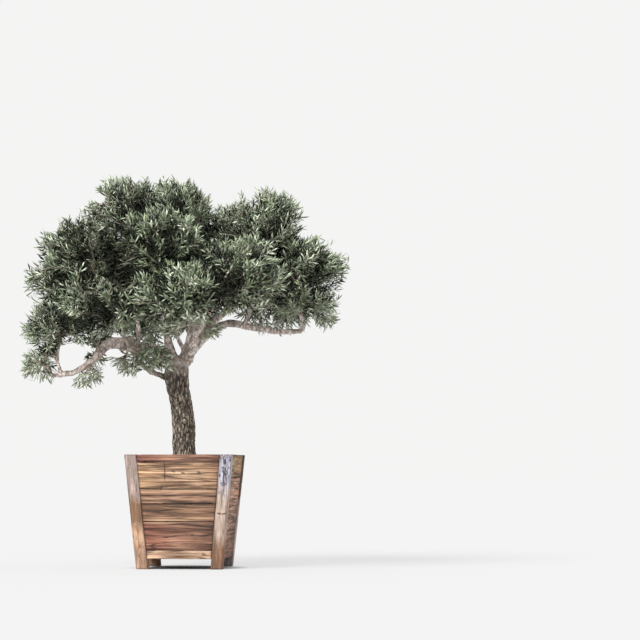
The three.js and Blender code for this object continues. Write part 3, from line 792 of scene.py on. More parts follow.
# Patterns of lines: scale across and along the trunk, half width of a line, and a shift.
PLATES, FINE_PLATES, WRINKLES = (66, 15, 0.20, 0), (120, 34, 0.24, 7), (60, 34, 0.25, 3)
FINE_SHARE = 0.7
CRACK_DEPTH, WRINKLE_DEPTH = 0.0052, 0.0010
LUMP_HEIGHT, BARK_LUMPS = 0.0030, 26


def fade(value, low, high):
    """0 below low, 1 above high, and smooth between."""
    t = np.clip((value - low) / (high - low), 0, 1)
    return t * t * (3 - 2 * t)


def trunk_share(p):
    """How much the bark at each point is the trunk's rough one."""
    trunk = LIMBS[0].path
    beside = read_off(p[:, 2], trunk[:, 2], trunk[:, :2])
    away = np.linalg.norm(p[:, :2] - beside, axis=1)
    return (1 - fade(p[:, 2], *ROUGH_LEVELS)) * (1 - fade(away, *ROUGH_REACH))


def crack_lines(p, across, along, width, shift):
    """1 on lines where a noise pattern passes through zero, and 0 away from them."""
    scaled = p * (across, across, along) + shift
    values = np.array([noise.noise(Vector(q)) for q in scaled])
    return np.clip(1 - np.abs(values) / width, 0, 1)


def read_points(mesh, what):
    """One row of three values for each point of a mesh."""
    values = np.empty(len(mesh.vertices) * 3)
    mesh.vertices.foreach_get(what, values)
    return values.reshape(-1, 3)


def shape_bark(mesh):
    """Moves every point of the skin along its normal, and stores its share of rough bark and of a crack."""
    p, normals = read_points(mesh, "co"), read_points(mesh, "normal")
    rough = trunk_share(p)
    cracks = np.maximum(crack_lines(p, *PLATES), FINE_SHARE * crack_lines(p, *FINE_PLATES))
    wrinkles = crack_lines(p, *WRINKLES)
    lumps = np.array([layered_noise(Vector(q), 3) for q in p * BARK_LUMPS])
    depth = rough * CRACK_DEPTH * cracks + (1 - rough) * WRINKLE_DEPTH * wrinkles
    moved = p + normals * (LUMP_HEIGHT * lumps - depth)[:, None]
    mesh.vertices.foreach_set("co", moved.ravel())
    lines = np.where(rough > 0.5, cracks, wrinkles * (1 - rough))
    for name, values in (("rough", rough), ("crack", lines)):
        mesh.attributes.new(name, "FLOAT", "POINT").data.foreach_set("value", values.astype(np.float32))


def round_forks(mesh):
    """Smooths the skin, so that the forks flow."""
    bm = bmesh.new()
    bm.from_mesh(mesh)
    for _ in range(SMOOTHINGS):
        bmesh.ops.smooth_vert(bm, verts=bm.verts, factor=0.5,
                              use_axis_x=True, use_axis_y=True, use_axis_z=True)
    bm.to_mesh(mesh)
    bm.free()


round_forks(skin)
shape_bark(skin)
print("bark relief on", len(skin.vertices), "points")

# %% [markdown]
# ## Trunk and boughs
# The finish is mixed from two barks by another attribute of the last cell: grey-brown plates
# with tan ridges and near-black cracks, and the pale pinkish beige of the boughs. The skin is then
# cut level below the fork, so that trunk and boughs are two closed pieces that meet with no seam.

# %% Finish and cut the wood
CUT_LEVEL = 0.955
BARK_SCALE, BARK_GRAIN = (110, 110, 34), 0.0014


def bark_finish(name):
    finish, tree, shader, place = new_finish(name, roughness=0.85)
    rough = stored(tree, "rough")
    plates = speckle(tree, stretched(tree, place, BARK_SCALE), scale=1.0, detail=6.0, roughness=0.65)
    plates = ramp(tree, plates, [(0.37, tone(38, 33, 28)), (0.5, tone(112, 99, 87)),
                                 (0.63, tone(216, 200, 178))])
    pale = speckle(tree, place, scale=30.0, detail=5.0, roughness=0.6)
    pale = ramp(tree, pale, [(0.32, tone(128, 116, 106)), (0.5, tone(222, 205, 195)),
                             (0.66, tone(248, 241, 235))])
    dark = mix_colours(tree, rough, tone(124, 111, 101), tone(28, 24, 20))
    colour = mix_colours(tree, stored(tree, "crack"), mix_colours(tree, rough, pale, plates), dark)
    fine = speckle(tree, place, scale=220.0, detail=4.0, roughness=0.6)
    colour = multiply_colours(tree, colour, ramp(tree, fine, [(0.3, grey(0.72)), (0.6, grey(1.05))]))
    tree.links.new(colour, shader.inputs["Base Color"])
    raise_grain(tree, shader, fine, BARK_GRAIN)
    return finish


def half_of_skin(mesh, keep_above):
    """The skin on one side of the level cut, closed with a flat face."""
    bm = bmesh.new()
    bm.from_mesh(mesh)
    cut = bmesh.ops.bisect_plane(bm, geom=bm.verts[:] + bm.edges[:] + bm.faces[:],
                                 plane_co=(0, 0, CUT_LEVEL), plane_no=(0, 0, 1),
                                 clear_inner=keep_above, clear_outer=not keep_above)["geom_cut"]
    rim = [part for part in cut if isinstance(part, bmesh.types.BMEdge)]
    bmesh.ops.contextual_create(bm, geom=rim)
    bmesh.ops.recalc_face_normals(bm, faces=bm.faces[:])
    return bm


trunk_half = half_of_skin(skin, keep_above=False)
bough_half = half_of_skin(skin, keep_above=True)
set_piece("trunk_wood", trunk_half, bark_finish("trunk_bark"), "trunk_bark", "trunk")
bough_nodes = [f"bough_{bough[0]}" for bough in BOUGHS]
set_piece("bough_wood", bough_half, bark_finish("bough_bark"), "bough_bark", *bough_nodes)

# %% [markdown]
# ## The spaces of the crown
# The crown is made of masses of foliage, and each keeps to its own space: an ellipsoid, cut flat
# where it meets its neighbours. The first list repeats the frame's masses in millimetres: middle,
# half sizes, the bough that carries the mass, and how many main twigs it starts from. Daylight would
# show between them, so the second list adds inner masses. They fill the heart of the crown and some
# small places at the fork, the left bough and the left edge, and no neighbour cuts them.

# %% Masses of foliage
MASSES = [
    ("left_low", (-650, -96, 1248), (232, 226, 198), "left_upturn", 9),
    ("left_tip", (-752, -115, 1060), (126, 120, 118), "left_tip", 7),
    ("left_hanging", (-515, -85, 1010), (114, 100, 100), "left", 7),
    ("left_mid", (-648, 30, 1500), (246, 270, 216), "left_riser", 8),
    ("left_high", (-566, 60, 1684), (280, 262, 200), "left_riser", 9),
    ("top_left", (-298, -70, 1878), (226, 250, 222), "centre_left", 8),
    ("top_right", (-48, -60, 1862), (188, 250, 218), "centre_right", 7),
    ("top_back", (-90, 260, 1842), (280, 262, 228), "centre_right", 7),
    ("right_high", (395, 40, 1795), (266, 262, 226), "right_riser", 8),
    ("right_mid", (620, 60, 1560), (270, 275, 210), "right_riser", 7),
    ("right_low", (604, 20, 1365), (240, 262, 200), "right_upturn", 9),
    ("front_spray", (-238, -170, 1110), (178, 140, 140), "low_left", 9),
    ("front_left", (-390, -370, 1385), (278, 262, 236), "low_left", 8),
    ("front_high", (-96, -400, 1650), (286, 250, 236), "centre_right", 8),
    ("front_low", (40, -500, 1390), (286, 262, 206), "front_right", 8),
    ("front_right", (330, -380, 1500), (280, 262, 236), "front_right", 7),
    ("back_left", (-470, 430, 1420), (286, 275, 242), "back_left", 7),
    ("back", (-20, 500, 1480), (286, 282, 242), "back_left", 7),
    ("back_right", (430, 420, 1450), (286, 275, 242), "back_right", 7),
    ("back_high", (215, 320, 1755), (270, 262, 230), "back_right", 7),
    ("middle", (-150, 120, 1310), (236, 220, 178), "back_left", 8),
]
INNER_MASSES = [
    ("heart_left", (-190, 60, 1600), (350, 210, 205), "centre_left", 9),
    ("heart_right", (270, 60, 1630), (290, 210, 190), "right_riser", 8),
    ("heart_back", (-420, 230, 1600), (200, 190, 175), "back_left", 7),
    ("skirt", (135, -150, 1240), (105, 120, 66), "front_right", 6),
    ("fork", (-58, -160, 1236), (105, 90, 60), "front_right", 6),
    ("collar", (-106, -125, 1083), (97, 66, 92), "low_left", 7),
    ("tassel", (-315, -120, 1051), (60, 62, 66), "low_left", 6),
    ("bend", (-474, -8, 1096), (90, 66, 58), "left", 6),
    ("arch", (-456, -40, 1194), (106, 90, 64), "left", 7),
    ("loop", (-722, -80, 1128), (76, 90, 72), "left_tip", 6),
    ("flank", (-834, 20, 1556), (60, 110, 80), "left_riser", 6),
    ("shoulder", (-756, 40, 1712), (66, 90, 66), "left_riser", 6),
    ("corner", (-478, -60, 1872), (92, 96, 80), "centre_left", 6),
    ("heart_top", (50, 150, 1690), (160, 150, 130), "centre_right", 6),
    ("heart_far", (510, 150, 1665), (160, 150, 120), "right_riser", 6),
    ("heart_front", (125, -205, 1530), (200, 170, 200), "front_right", 8),
    ("heart_low", (-430, -10, 1385), (190, 150, 150), "left_riser", 7),
]
CROWN_MIDDLE = np.array([-0.010, 0, 1.500])
STEM_SHORT, STEM_ARCH, STEM_BEADS = 0.12, 0.012, 16
BOX_ROOM = 0.001
HALVINGS = 18
ENDS = {limb.name: limb.path[-1] for limb in LIMBS}


def make_mass(name, centre, half, foot, twigs, inner=False):
    """A mass, with a stem from its bough's end nearly to its middle."""
    centre, half = np.array(centre) * MM, np.array(half) * MM
    end = centre + STEM_SHORT * (ENDS[foot] - centre)
    stem = [ENDS[foot], (ENDS[foot] + end) / 2 + (0, 0, STEM_ARCH), end]
    return SimpleNamespace(name=name, centre=centre, half=half, size=half.mean(), twigs=twigs,
                           stem=smooth_path(stem, STEM_BEADS), inner=inner)


outer_masses = [make_mass(*mass) for mass in MASSES]
masses = outer_masses + [make_mass(*mass, inner=True) for mass in INNER_MASSES]
BOX_LOW, BOX_HIGH = np.array(FRAME_BOX)


def in_space(mass, p, margin, overlap=0.0, short=0.0):
    """Whether points lie in a mass's space. Fine leaves may pass a neighbour's border by the overlap,
    and a spray may stop short of the outer border by a share of its size."""
    d = p - mass.centre
    inside = ((d / (mass.half - margin)) ** 2).sum(1) <= (1 - short) ** 2
    inside &= ((p > BOX_LOW + BOX_ROOM) & (p < BOX_HIGH - BOX_ROOM)).all(1)
    here = (d**2).sum(1) - mass.size**2
    for other in outer_masses:
        if other is not mass and not mass.inner:
            there = ((p - other.centre) ** 2).sum(1) - other.size**2
            apart = np.linalg.norm(other.centre - mass.centre)
            inside &= here < there + 2 * (overlap - margin) * apart
    return inside


def reach_along(mass, way, margin):
    """How far the space reaches from its middle along a direction, by halving."""
    low, high = 0.0, mass.half.max()
    for _ in range(HALVINGS):
        middle = (low + high) / 2
        if in_space(mass, (mass.centre + way * middle)[None], margin)[0]:
            low = middle
        else:
            high = middle
    return low


print("masses:", len(masses))

# %% [markdown]
# ## Daylight and bare wood
# From the front some places stay open. Daylight shows through a loop under the left bough, through
# small windows at the fork and in notches of the outline. Nothing hangs before the bare stretches
# of the boughs, or before the dark hollow in the crown. Each is a line of sight from well in front
# of the tree. A leaf is left out if it is too near a line, unless it lies behind the wood or the
# hollow that the line looks at.

# %% Lines of sight
FRONT = np.array([1.780, -11.870, 0.505])
WINDOWS = [((-0.606, -0.086, 1.112), 0.062), ((-0.040, -0.006, 1.136), 0.026),
           ((-0.005, 0.0, 1.216), 0.018), ((-0.231, 0.0, 0.998), 0.034), ((-0.400, 0.0, 1.134), 0.026),
           ((-0.726, 0.0, 1.818), 0.036), ((-0.474, 0.0, 1.956), 0.026), ((-0.273, 0.0, 2.066), 0.026),
           ((-0.025, 0.0, 2.062), 0.028)]
BARE = [("left", 0.50, 1), ("left_hook", 0, 1), ("left_tip", 0, 0.3), ("left_upturn", 0, 0.5),
        ("centre_right", 0, 0.34), ("low_left", 0, 0.22), ("right", 0.45, 0.71),
        ("right", 0.84, 1), ("right_upturn", 0, 0.9), ("left_riser", 0, 0.16)]
HOLLOWS = [((-0.420, -0.12, 1.60), 0.075), ((-0.330, -0.12, 1.53), 0.070),
           ((-0.500, -0.12, 1.50), 0.055), ((-0.355, -0.12, 1.665), 0.050)]
BARE_ROOM = 0.003


def lines_of_sight():
    """The ways from the front, their radii, and how far along them the view may not be hidden."""
    places = WINDOWS + HOLLOWS
    ways = [np.array(at) - FRONT for at, _ in places]
    radii = [radius for _, radius in places]
    depths = [np.inf] * len(WINDOWS) + [np.linalg.norm(way) for way in ways[len(WINDOWS):]]
    for name, low, high in BARE:
        limb = next(limb for limb in LIMBS if limb.name == name)
        shown = (limb.share >= low) & (limb.share <= high)
        ways += list(limb.path[shown] - FRONT)
        radii += list(limb.radius[shown] + BARE_ROOM)
        depths += list(np.linalg.norm(limb.path[shown] - FRONT, axis=1))
    ways = np.array(ways)
    return ways / np.linalg.norm(ways, axis=1)[:, None], np.array(radii), np.array(depths)


SIGHT_WAYS, SIGHT_RADII, SIGHT_DEPTHS = lines_of_sight()
BALLS = np.vstack([limb.path for limb in LIMBS])
BALL_RADII = np.concatenate([limb.radius for limb in LIMBS])


def hides_view(p):
    """Whether each point is too near a line of sight, and before what it looks at."""
    d = p - FRONT
    depth = np.linalg.norm(d, axis=1)
    off = depth[:, None] ** 2 - (d @ SIGHT_WAYS.T) ** 2
    return ((off < SIGHT_RADII**2) & (depth[:, None] < SIGHT_DEPTHS)).any(1)


def touches_limb(p, room):
    """Whether each point is nearer than this room to the wood of a limb."""
    gaps = (p**2).sum(1)[:, None] + (BALLS**2).sum(1) - 2 * p @ BALLS.T
    return (gaps < (BALL_RADII + room) ** 2).any(1)


def is_open(mass, p, margin, overlap, room, short=0.0):
    """Whether a twig or leaf may be at each point."""
    return in_space(mass, p, margin, overlap, short) & ~touches_limb(p, room) & ~hides_view(p)


print("lines of sight:", len(SIGHT_WAYS))

# %% [markdown]
# ## Twigs
# A mass grows from one stem. Its main twigs follow the frame's own rule: the first grows away from
# the crown's middle and the others spread evenly over a ball by the golden angle, each shaken a
# little by a seeded stream of numbers. More twigs of the same kind then fill the gaps, which the
# frame leaves wide. Every twig bends slightly, and stops where its way isn't open. The foliage is
# gathered in tufts, and between two tufts a twig ends sooner.

# %% Grow twigs
FIRST_SEED, SEED_STEP = 11, 7
STEM_BARE, STEM_LEFT = 0.3, 0.98
STEM_BEFORE = 0.2
TWIG_WOBBLE, MORE_WOBBLE = 0.35, 0.22
LARGE_MASS, MORE_TWIGS, SMALL_MORE = 0.18, 24, 19
TWIG_BEADS, TWIG_ROOT = 14, 3
TWIG_REACH, REACH_MARGIN = (0.86, 1.0), 0.006
TWIG_LIFT, TWIG_BEND, BEND_SHARE = 0.10, 0.06, 0.6
TWIG_MARGIN, TWIG_OVERLAP, TWIG_ROOM = 0.002, 0.02, 0.002
TUFT_SHORT, TWIG_SHORT = 0.28, 0.06
TUFTS_ROUND, TUFT_SLOPE, TUFT_SHIFT = 4.8, 1.8, 9
GOLDEN, GOLDEN_SHARE = math.pi * (3 - math.sqrt(5)), 0.618


def seeded(seed):
    """The frame's own stream of shares from 0 to 1."""
    state = seed
    while True:
        state = (state * 1664525 + 1013904223) % 2**32
        yield state / 2**32


def unit(v):
    return v / np.linalg.norm(v, axis=-1, keepdims=True)


def spread(k, n):
    """The direction of the kth of n twigs, spread evenly over a ball."""
    z = 1 - (2 * k + 1) / n
    ring = math.sqrt(1 - z * z)
    return np.array([ring * math.cos(k * GOLDEN), ring * math.sin(k * GOLDEN), z])


def tuft_share(mass, p):
    """How far each point lies from the middle of a tuft: 0 to 1, by its direction in the mass."""
    ways = unit((p - mass.centre) / mass.half) * TUFTS_ROUND
    values = np.array([noise.noise(Vector(way) + Vector(mass.centre) * TUFT_SHIFT) for way in ways])
    return np.clip(0.5 - TUFT_SLOPE * values, 0, 1)


def twig_ways(mass, index, random):
    """The frame's twig directions, and those of the finer twigs between them."""
    chance = seeded(FIRST_SEED + SEED_STEP * index)
    ways = []
    for k in range(mass.twigs):
        wobble = np.array([next(chance) - 0.5 for _ in range(3)])
        main = mass.centre - CROWN_MIDDLE if k == 0 else spread(k - 1, mass.twigs - 1) + wobble * TWIG_WOBBLE
        ways.append(unit(main))
    more = MORE_TWIGS if mass.size > LARGE_MASS else SMALL_MORE
    for k in range(more):
        ways.append(unit(spread(k, more) + random.normal(0, MORE_WOBBLE, 3)))
    return ways


def grow_twig(mass, way, share, random):
    """A bent twig from the stem to the border of the space, cut off where its way isn't open."""
    start = mass.stem[round(share * (len(mass.stem) - 1))]
    tip = mass.centre + way * reach_along(mass, way, REACH_MARGIN) * random.uniform(*TWIG_REACH)
    length = np.linalg.norm(tip - start)
    bend = (0, 0, TWIG_LIFT * length) + random.normal(0, TWIG_BEND, 3) * length
    t = np.linspace(0, 1, TWIG_BEADS)[:, None]
    path = start + (tip - start) * t + 4 * (t * (1 - t)) * bend * BEND_SHARE
    closed = ~is_open(mass, path, TWIG_MARGIN, TWIG_OVERLAP, TWIG_ROOM)
    short = TWIG_SHORT + TUFT_SHORT * tuft_share(mass, tip[None])[0]
    outer = slice(TWIG_BEADS // 2, None)
    closed[outer] |= ~in_space(mass, path[outer], TWIG_MARGIN, TWIG_OVERLAP, short)
    closed[:TWIG_ROOT] = False
    stop = int(np.argmax(closed)) if closed.any() else TWIG_BEADS
    return path[:stop]


def grow_twigs(mass, index, random):
    """The paths of a mass's twigs, which start where its stem is near or in its space."""
    inside = in_space(mass, mass.stem, 0)
    bare = max(STEM_BARE, np.argmax(inside) / len(inside) - STEM_BEFORE)
    paths = []
    for k, way in enumerate(twig_ways(mass, index, random)):
        along = (k * GOLDEN_SHARE) % 1 if k >= mass.twigs else k / mass.twigs
        path = grow_twig(mass, way, bare + (STEM_LEFT - bare) * along, random)
        if len(path) > TWIG_ROOT:
            paths.append(path)
    return paths


print("finer twigs to a mass:", MORE_TWIGS, "or, in a small one,", SMALL_MORE)

# %% [markdown]
# ## Shoots and leaves
# Side shoots leave each twig one after another, turned by the golden angle, and lean forwards and
# up. Leaves sit on a shoot in pairs, each pair turned against the one before, as an olive's do, and
# one leaf ends the shoot. Shoots stop a little short of the mass's border, most of all between its
# tufts, and a few reach beyond it. All shoots of a mass are worked out together as arrays, because
# seventy thousand leaves would take too long one by one.

# %% Grow shoots and leaves
SHOOT_SPACING = 0.017
SHOOT_LENGTHS = (0.080, 0.180)
SHOOTS_FROM = 0.22
SHOOT_ANGLE, SHOOT_ANGLE_CHANCE = 0.75, 0.15
SHOOT_LIFT = 0.30
SHOOT_BEND, SHOOT_RISE = 0.12, 0.10
SHOOT_MARGIN, SHOOT_OVERLAP, SHOOT_ROOM = 0.010, 0.02, 0.004
SHOOT_TESTS = np.linspace(0.2, 1, 6)
SPRAY_SHORT, SPRAY_POWER, BEYOND = 0.30, 6, 0.18
LEAF_SPACING = 0.0165
LEAF_ANGLE, LEAF_ANGLE_CHANCE, END_LEAF_ANGLE = 0.80, 0.20, 0.12
LEAF_FORWARD = 0.16
LEAF_TURN = 0.3
LEAF_LENGTH, LEAF_LENGTHS = 0.048, (0.72, 1.18)
LEAF_WIDTH, LEAF_WIDTHS = 0.0088, (0.85, 1.15)
LEAF_OVERLAP, LEAF_ROOM = 0.03, 0.001
NEVER_ZERO = (0, 0, 0.01)
LOOK_ROUND, LOOKS = 0.11, 14
WAYS_ROUND = [spread(k, LOOKS) for k in range(LOOKS)]


def square_ways(way, random):
    """Two directions square to each way, turned by chance."""
    side = unit(np.cross(way, random.normal(size=way.shape) + NEVER_ZERO))
    return side, np.cross(way, side)


def enclosed(p):
    """How much of the crown lies round each point: 1 deep inside, and less near its outside."""
    hidden = np.zeros(len(p))
    for way in WAYS_ROUND:
        look = p + LOOK_ROUND * way
        hidden += np.any([(((look - mass.centre) / mass.half) ** 2).sum(1) < 1 for mass in masses], axis=0)
    return hidden / len(WAYS_ROUND)


def grow_shoots(mass, paths, random):
    """Starts, ways and bends of all side shoots of a mass, and the length that is open to each."""
    starts, ways = [], []
    for path in paths:
        length = np.linalg.norm(np.diff(path, axis=0), axis=1).sum()
        count = max(2, int(length / SHOOT_SPACING))
        shares = np.linspace(SHOOTS_FROM, 1, count) * (len(path) - 1)
        starts.append(read_off(shares, range(len(path)), path))
        ways.append(read_off(shares, range(len(path)), np.gradient(path, axis=0)))
    start, line = np.vstack(starts), unit(np.vstack(ways))
    n = len(start)
    side, other = square_ways(line, random)
    turn = np.arange(n)[:, None] * GOLDEN
    angle = (SHOOT_ANGLE + random.normal(0, SHOOT_ANGLE_CHANCE, n))[:, None]
    away = side * np.cos(turn) + other * np.sin(turn)
    way = unit(line * np.cos(angle) + away * np.sin(angle) + np.array([0, 0, SHOOT_LIFT]))
    bend = random.normal(0, SHOOT_BEND, (n, 3)) + np.array([0, 0, SHOOT_RISE])
    length = random.uniform(*SHOOT_LENGTHS, n)
    apart = tuft_share(mass, start + way * length[:, None])
    short = TUFT_SHORT * apart + SPRAY_SHORT * (1 - random.random(n) ** SPRAY_POWER) - BEYOND
    return start, way, bend, open_length(mass, start, way, bend, length, short), apart


def shoot_point(start, way, bend, length, share):
    """A point on each shoot, at a share of its length."""
    run = (length * share)[:, None]
    return start + way * run + bend * run * share[:, None]


def open_length(mass, start, way, bend, length, short):
    """Cuts each shoot short where its way isn't open."""
    left = np.ones(len(start), bool)
    kept = np.zeros(len(start))
    for share in SHOOT_TESTS:
        p = shoot_point(start, way, bend, length, np.full(len(start), share))
        left &= is_open(mass, p, SHOOT_MARGIN, SHOOT_OVERLAP, SHOOT_ROOM, short)
        kept[left] = share
    return length * kept


def leaf_rows(mass, shoots, random):
    """The roots, ways, lengths and shoot numbers of all leaves of a mass."""
    start, way, bend, length, _ = shoots
    side, other = square_ways(way, random)
    rows = []
    for j in range(1, int(SHOOT_LENGTHS[1] / LEAF_SPACING) + 2):
        run = j * LEAF_SPACING
        here = np.flatnonzero(length > run)
        last = np.flatnonzero((length <= run) & (length > run - LEAF_SPACING))
        turn = j * math.pi / 2 + LEAF_TURN
        out = side * math.cos(turn) + other * math.sin(turn)
        for s, sign, paired in ((here, 1, True), (here, -1, True), (last, 1, False)):
            if len(s) == 0:
                continue
            share = np.minimum(run / length[s], 1)
            root = shoot_point(start[s], way[s], bend[s], length[s], share)
            chance = random.normal(0, LEAF_ANGLE_CHANCE, len(s))
            angle = LEAF_ANGLE + chance if paired else END_LEAF_ANGLE
            lean = (angle - LEAF_FORWARD * share)[:, None]
            line = unit(way[s] + 2 * bend[s] * share[:, None])
            leaf_way = unit(line * np.cos(lean) + sign * out[s] * np.sin(lean))
            rows.append((root, leaf_way, LEAF_LENGTH * random.uniform(*LEAF_LENGTHS, len(s)), s))
    root, leaf_way, size, number = (np.concatenate(column) for column in zip(*rows))
    tip = root + leaf_way * size[:, None]
    fits = is_open(mass, tip, 0.0, LEAF_OVERLAP, LEAF_ROOM)
    fits &= is_open(mass, (root + tip) / 2, 0.0, LEAF_OVERLAP, LEAF_ROOM)
    return root[fits], leaf_way[fits], size[fits], number[fits]


print("leaves on the longest shoot:", 2 * int(SHOOT_LENGTHS[1] / LEAF_SPACING) + 1)

# %% [markdown]
# ## Meshes out of arrays
# A leaf is a narrow blade, folded along its midrib, with six points round its outline, one on its
# face and one under it: twelve triangles that close it. A twig or shoot is a thin tube of three or
# more sides. Blender takes such meshes as whole arrays of points and triangles, which is the only
# quick way to make so many.

# %% Leaf and tube meshes
LEAF_OUTLINE = [(0, 0), (-0.40, 0.24), (-0.5, 0.60), (0, 1), (0.5, 0.60), (0.40, 0.24)]
LEAF_FACES = [(0, 5, 6), (5, 4, 6), (4, 3, 6), (3, 2, 6), (2, 1, 6), (1, 0, 6)]
LEAF_UNDERS = [(5, 0, 7), (4, 5, 7), (3, 4, 7), (2, 3, 7), (1, 2, 7), (0, 1, 7)]
POINTS_EACH = len(LEAF_OUTLINE) + 2
FOLD = 0.0011
BLADE = 0.0008
DROOP = 0.05
MIDRIB_AT, MIDRIB_CURL = 0.46, 0.21
NEARLY_UPRIGHT = 0.9


def leaf_points(root, way, size, facing, random):
    """Eight points for each leaf: its outline, its face and its underside."""
    side = unit(np.cross(way, facing))
    up = np.cross(side, way)
    width = LEAF_WIDTH * size / LEAF_LENGTH * random.uniform(*LEAF_WIDTHS, len(size))
    droop = random.normal(0.0, DROOP, len(size)) * size
    points = np.empty((len(root), POINTS_EACH, 3))
    for k, (sideways, along) in enumerate(LEAF_OUTLINE):
        curl = (droop * along**2)[:, None]
        points[:, k] = root + side * (sideways * width)[:, None] + way * (along * size)[:, None] + up * curl
    middle = root + way * (MIDRIB_AT * size)[:, None] + up * (MIDRIB_CURL * droop)[:, None]
    points[:, -2] = middle - up * FOLD
    points[:, -1] = middle - up * (FOLD + BLADE)
    return points.reshape(-1, 3)


def numbered(faces, count, points_each):
    """The same faces, repeated for each of count shapes."""
    steps = np.arange(count)[:, None, None] * points_each
    return (np.array(faces)[None] + steps).reshape(-1, 3)


def tube_mesh(paths, radii, sides):
    """Closed tubes along paths that all have the same number of points."""
    count, rings = paths.shape[:2]
    line = unit(paths[:, -1] - paths[:, 0])
    helper = np.where(np.abs(line[:, 2:]) > NEARLY_UPRIGHT, [[1.0, 0, 0]], [[0, 0, 1.0]])
    side = unit(np.cross(line, helper))
    other = np.cross(line, side)
    angles = np.arange(sides) * 2 * math.pi / sides
    ring = side[:, None] * np.cos(angles)[:, None] + other[:, None] * np.sin(angles)[:, None]
    points = paths[:, :, None] + ring[:, None] * radii[:, :, None, None]
    faces = []
    for r in range(rings - 1):
        for k in range(sides):
            a, b = r * sides + k, r * sides + (k + 1) % sides
            faces += [(a, b, b + sides), (a, b + sides, a + sides)]
    last = (rings - 1) * sides
    for k in range(1, sides - 1):
        faces += [(0, k + 1, k), (last, last + k, last + k + 1)]
    return points.reshape(-1, 3), numbered(faces, count, rings * sides)


def array_mesh(name, points, faces, finish_numbers=None):
    """A mesh from an array of points and an array of triangles."""
    mesh = bpy.data.meshes.new(name)
    mesh.vertices.add(len(points))
    mesh.vertices.foreach_set("co", points.astype(np.float32).ravel())
    mesh.loops.add(faces.size)
    mesh.loops.foreach_set("vertex_index", faces.astype(np.int32).ravel())
    mesh.polygons.add(len(faces))
    mesh.polygons.foreach_set("loop_start", np.arange(0, faces.size, 3, dtype=np.int32))
    if finish_numbers is not None:
        mesh.polygons.foreach_set("material_index", finish_numbers.astype(np.int32))
    mesh.update(calc_edges=True)
    return mesh


print("triangles to a leaf:", len(LEAF_FACES + LEAF_UNDERS))

# %% [markdown]
# ## Leaf and twig finishes
# Olive leaves are dark grey-green above and silvery below, and young ones are brighter. The shades
# are plain colours with a faint mottling and a soft waxy gloss, and they are painted light and shade:
# each spray keeps one, darker the deeper it lies in the crown or between two tufts, and paler at its
# tips. The undersides of the darkest sprays get a painted shade instead of silver. Each face has the
# number of its finish, which keeps the choice of shades here, out of the nodes.

# %% Finishes of the foliage
# The first four tones are one leaf top in steps of painted shade and painted light, from darkest to palest;
# fresh is a young leaf, under the silvery underside, and the last an underside in painted shade.
LEAF_TONES = {"deep": tone(28, 34, 23), "green": tone(124, 137, 106), "grey": tone(172, 185, 156),
              "silver": tone(214, 222, 198), "fresh": tone(176, 189, 150), "under": tone(148, 158, 134),
              "painted_shade_under": tone(50, 57, 43)}
SHADES = list(LEAF_TONES)
SHADE_STEPS = (0.20, 0.42, 0.72)
FRESH_SHARE = 0.07
TWIG_GRAIN = 0.0006
LIGHT_OUTSIDE, LIGHT_LOST_APART, LIGHT_CHANCE = 1.29, 0.50, 0.17


def painted_shade_of(tips, apart, random):
    """The painted shade of each spray: dark inside the crown and between tufts, and painted light at their
    tips.
    """
    chance = random.normal(0, LIGHT_CHANCE, len(tips))
    light = LIGHT_OUTSIDE - enclosed(tips) - LIGHT_LOST_APART * apart + chance
    shade = np.digitize(light, SHADE_STEPS)
    young = (light > SHADE_STEPS[1]) & (random.random(len(tips)) < FRESH_SHARE)
    return np.where(young, SHADES.index("fresh"), shade)


def leaf_finish(name):
    finish, tree, shader, place = new_finish("leaf_" + name, roughness=0.46)
    mottle = speckle(tree, place, scale=38.0, detail=2.0)
    mottle = ramp(tree, mottle, [(0.32, grey(0.52)), (0.68, grey(1.45))])
    colour = multiply_colours(tree, LEAF_TONES[name], mottle)
    tree.links.new(colour, shader.inputs["Base Color"])
    shader.inputs["Specular IOR Level"].default_value = 0.30
    return finish


def twig_finish():
    finish, tree, shader, place = new_finish("twig_bark", roughness=0.8)
    patches = speckle(tree, place, scale=45.0, detail=4.0, roughness=0.6)
    colour = ramp(tree, patches, [(0.3, tone(122, 112, 98)), (0.5, tone(168, 157, 140)),
                                  (0.7, tone(208, 198, 182))])
    tree.links.new(colour, shader.inputs["Base Color"])
    raise_grain(tree, shader, patches, TWIG_GRAIN)
    return finish


leaf_finishes = [leaf_finish(name) for name in SHADES]
twig_bark = twig_finish()
print("leaf shades:", ", ".join(SHADES))

# %% [markdown]
# ## The crown
# The masses are grown one after another and joined by region, leaves and twigs apart, so that no
# piece grows too large. Leaves turn their faces up and outwards, towards the light. Stems, twigs and
# shoots are tubes that taper, and the thinner they are, the fewer sides they have.

# %% Grow the crown
REGIONS = {
    "low": ("left_low", "left_tip", "left_hanging", "front_spray", "tassel", "bend", "arch", "loop"),
    "left": ("left_mid", "left_high", "corner", "heart_low", "flank", "shoulder"),
    "top": ("top_left", "top_right", "top_back"),
    "inner": ("middle", "heart_left", "heart_right", "heart_back", "heart_top", "heart_far"),
    "right": ("right_high", "right_mid", "right_low"),
    "front": ("front_left", "front_high", "heart_front"),
    "front_right": ("front_low", "front_right", "skirt", "fork", "collar"),
    "back": ("back_left", "back"),
    "back_right": ("back_right", "back_high"),
}
STEM_RADIUS, TWIG_RADIUS, TWIG_TIP, SHOOT_RADIUS, SHOOT_TIP = 0.0095, 0.0036, 0.0015, 0.0012, 0.0006
STEM_SIDES, TWIG_SIDES, SHOOT_SIDES = 8, 4, 3
TWIG_RINGS, SHOOT_RINGS = 7, 4
LEAST_SHOOT = 0.02
FACE_OUT, FACE_UP, FACE_CHANCE = 0.7, 0.6, 0.60


def tapered(paths, thick, thin, sides):
    """Closed tubes along paths, each thinner towards its end."""
    radii = np.linspace(thick, thin, paths.shape[1])[None].repeat(len(paths), 0)
    return tube_mesh(paths, radii, sides)


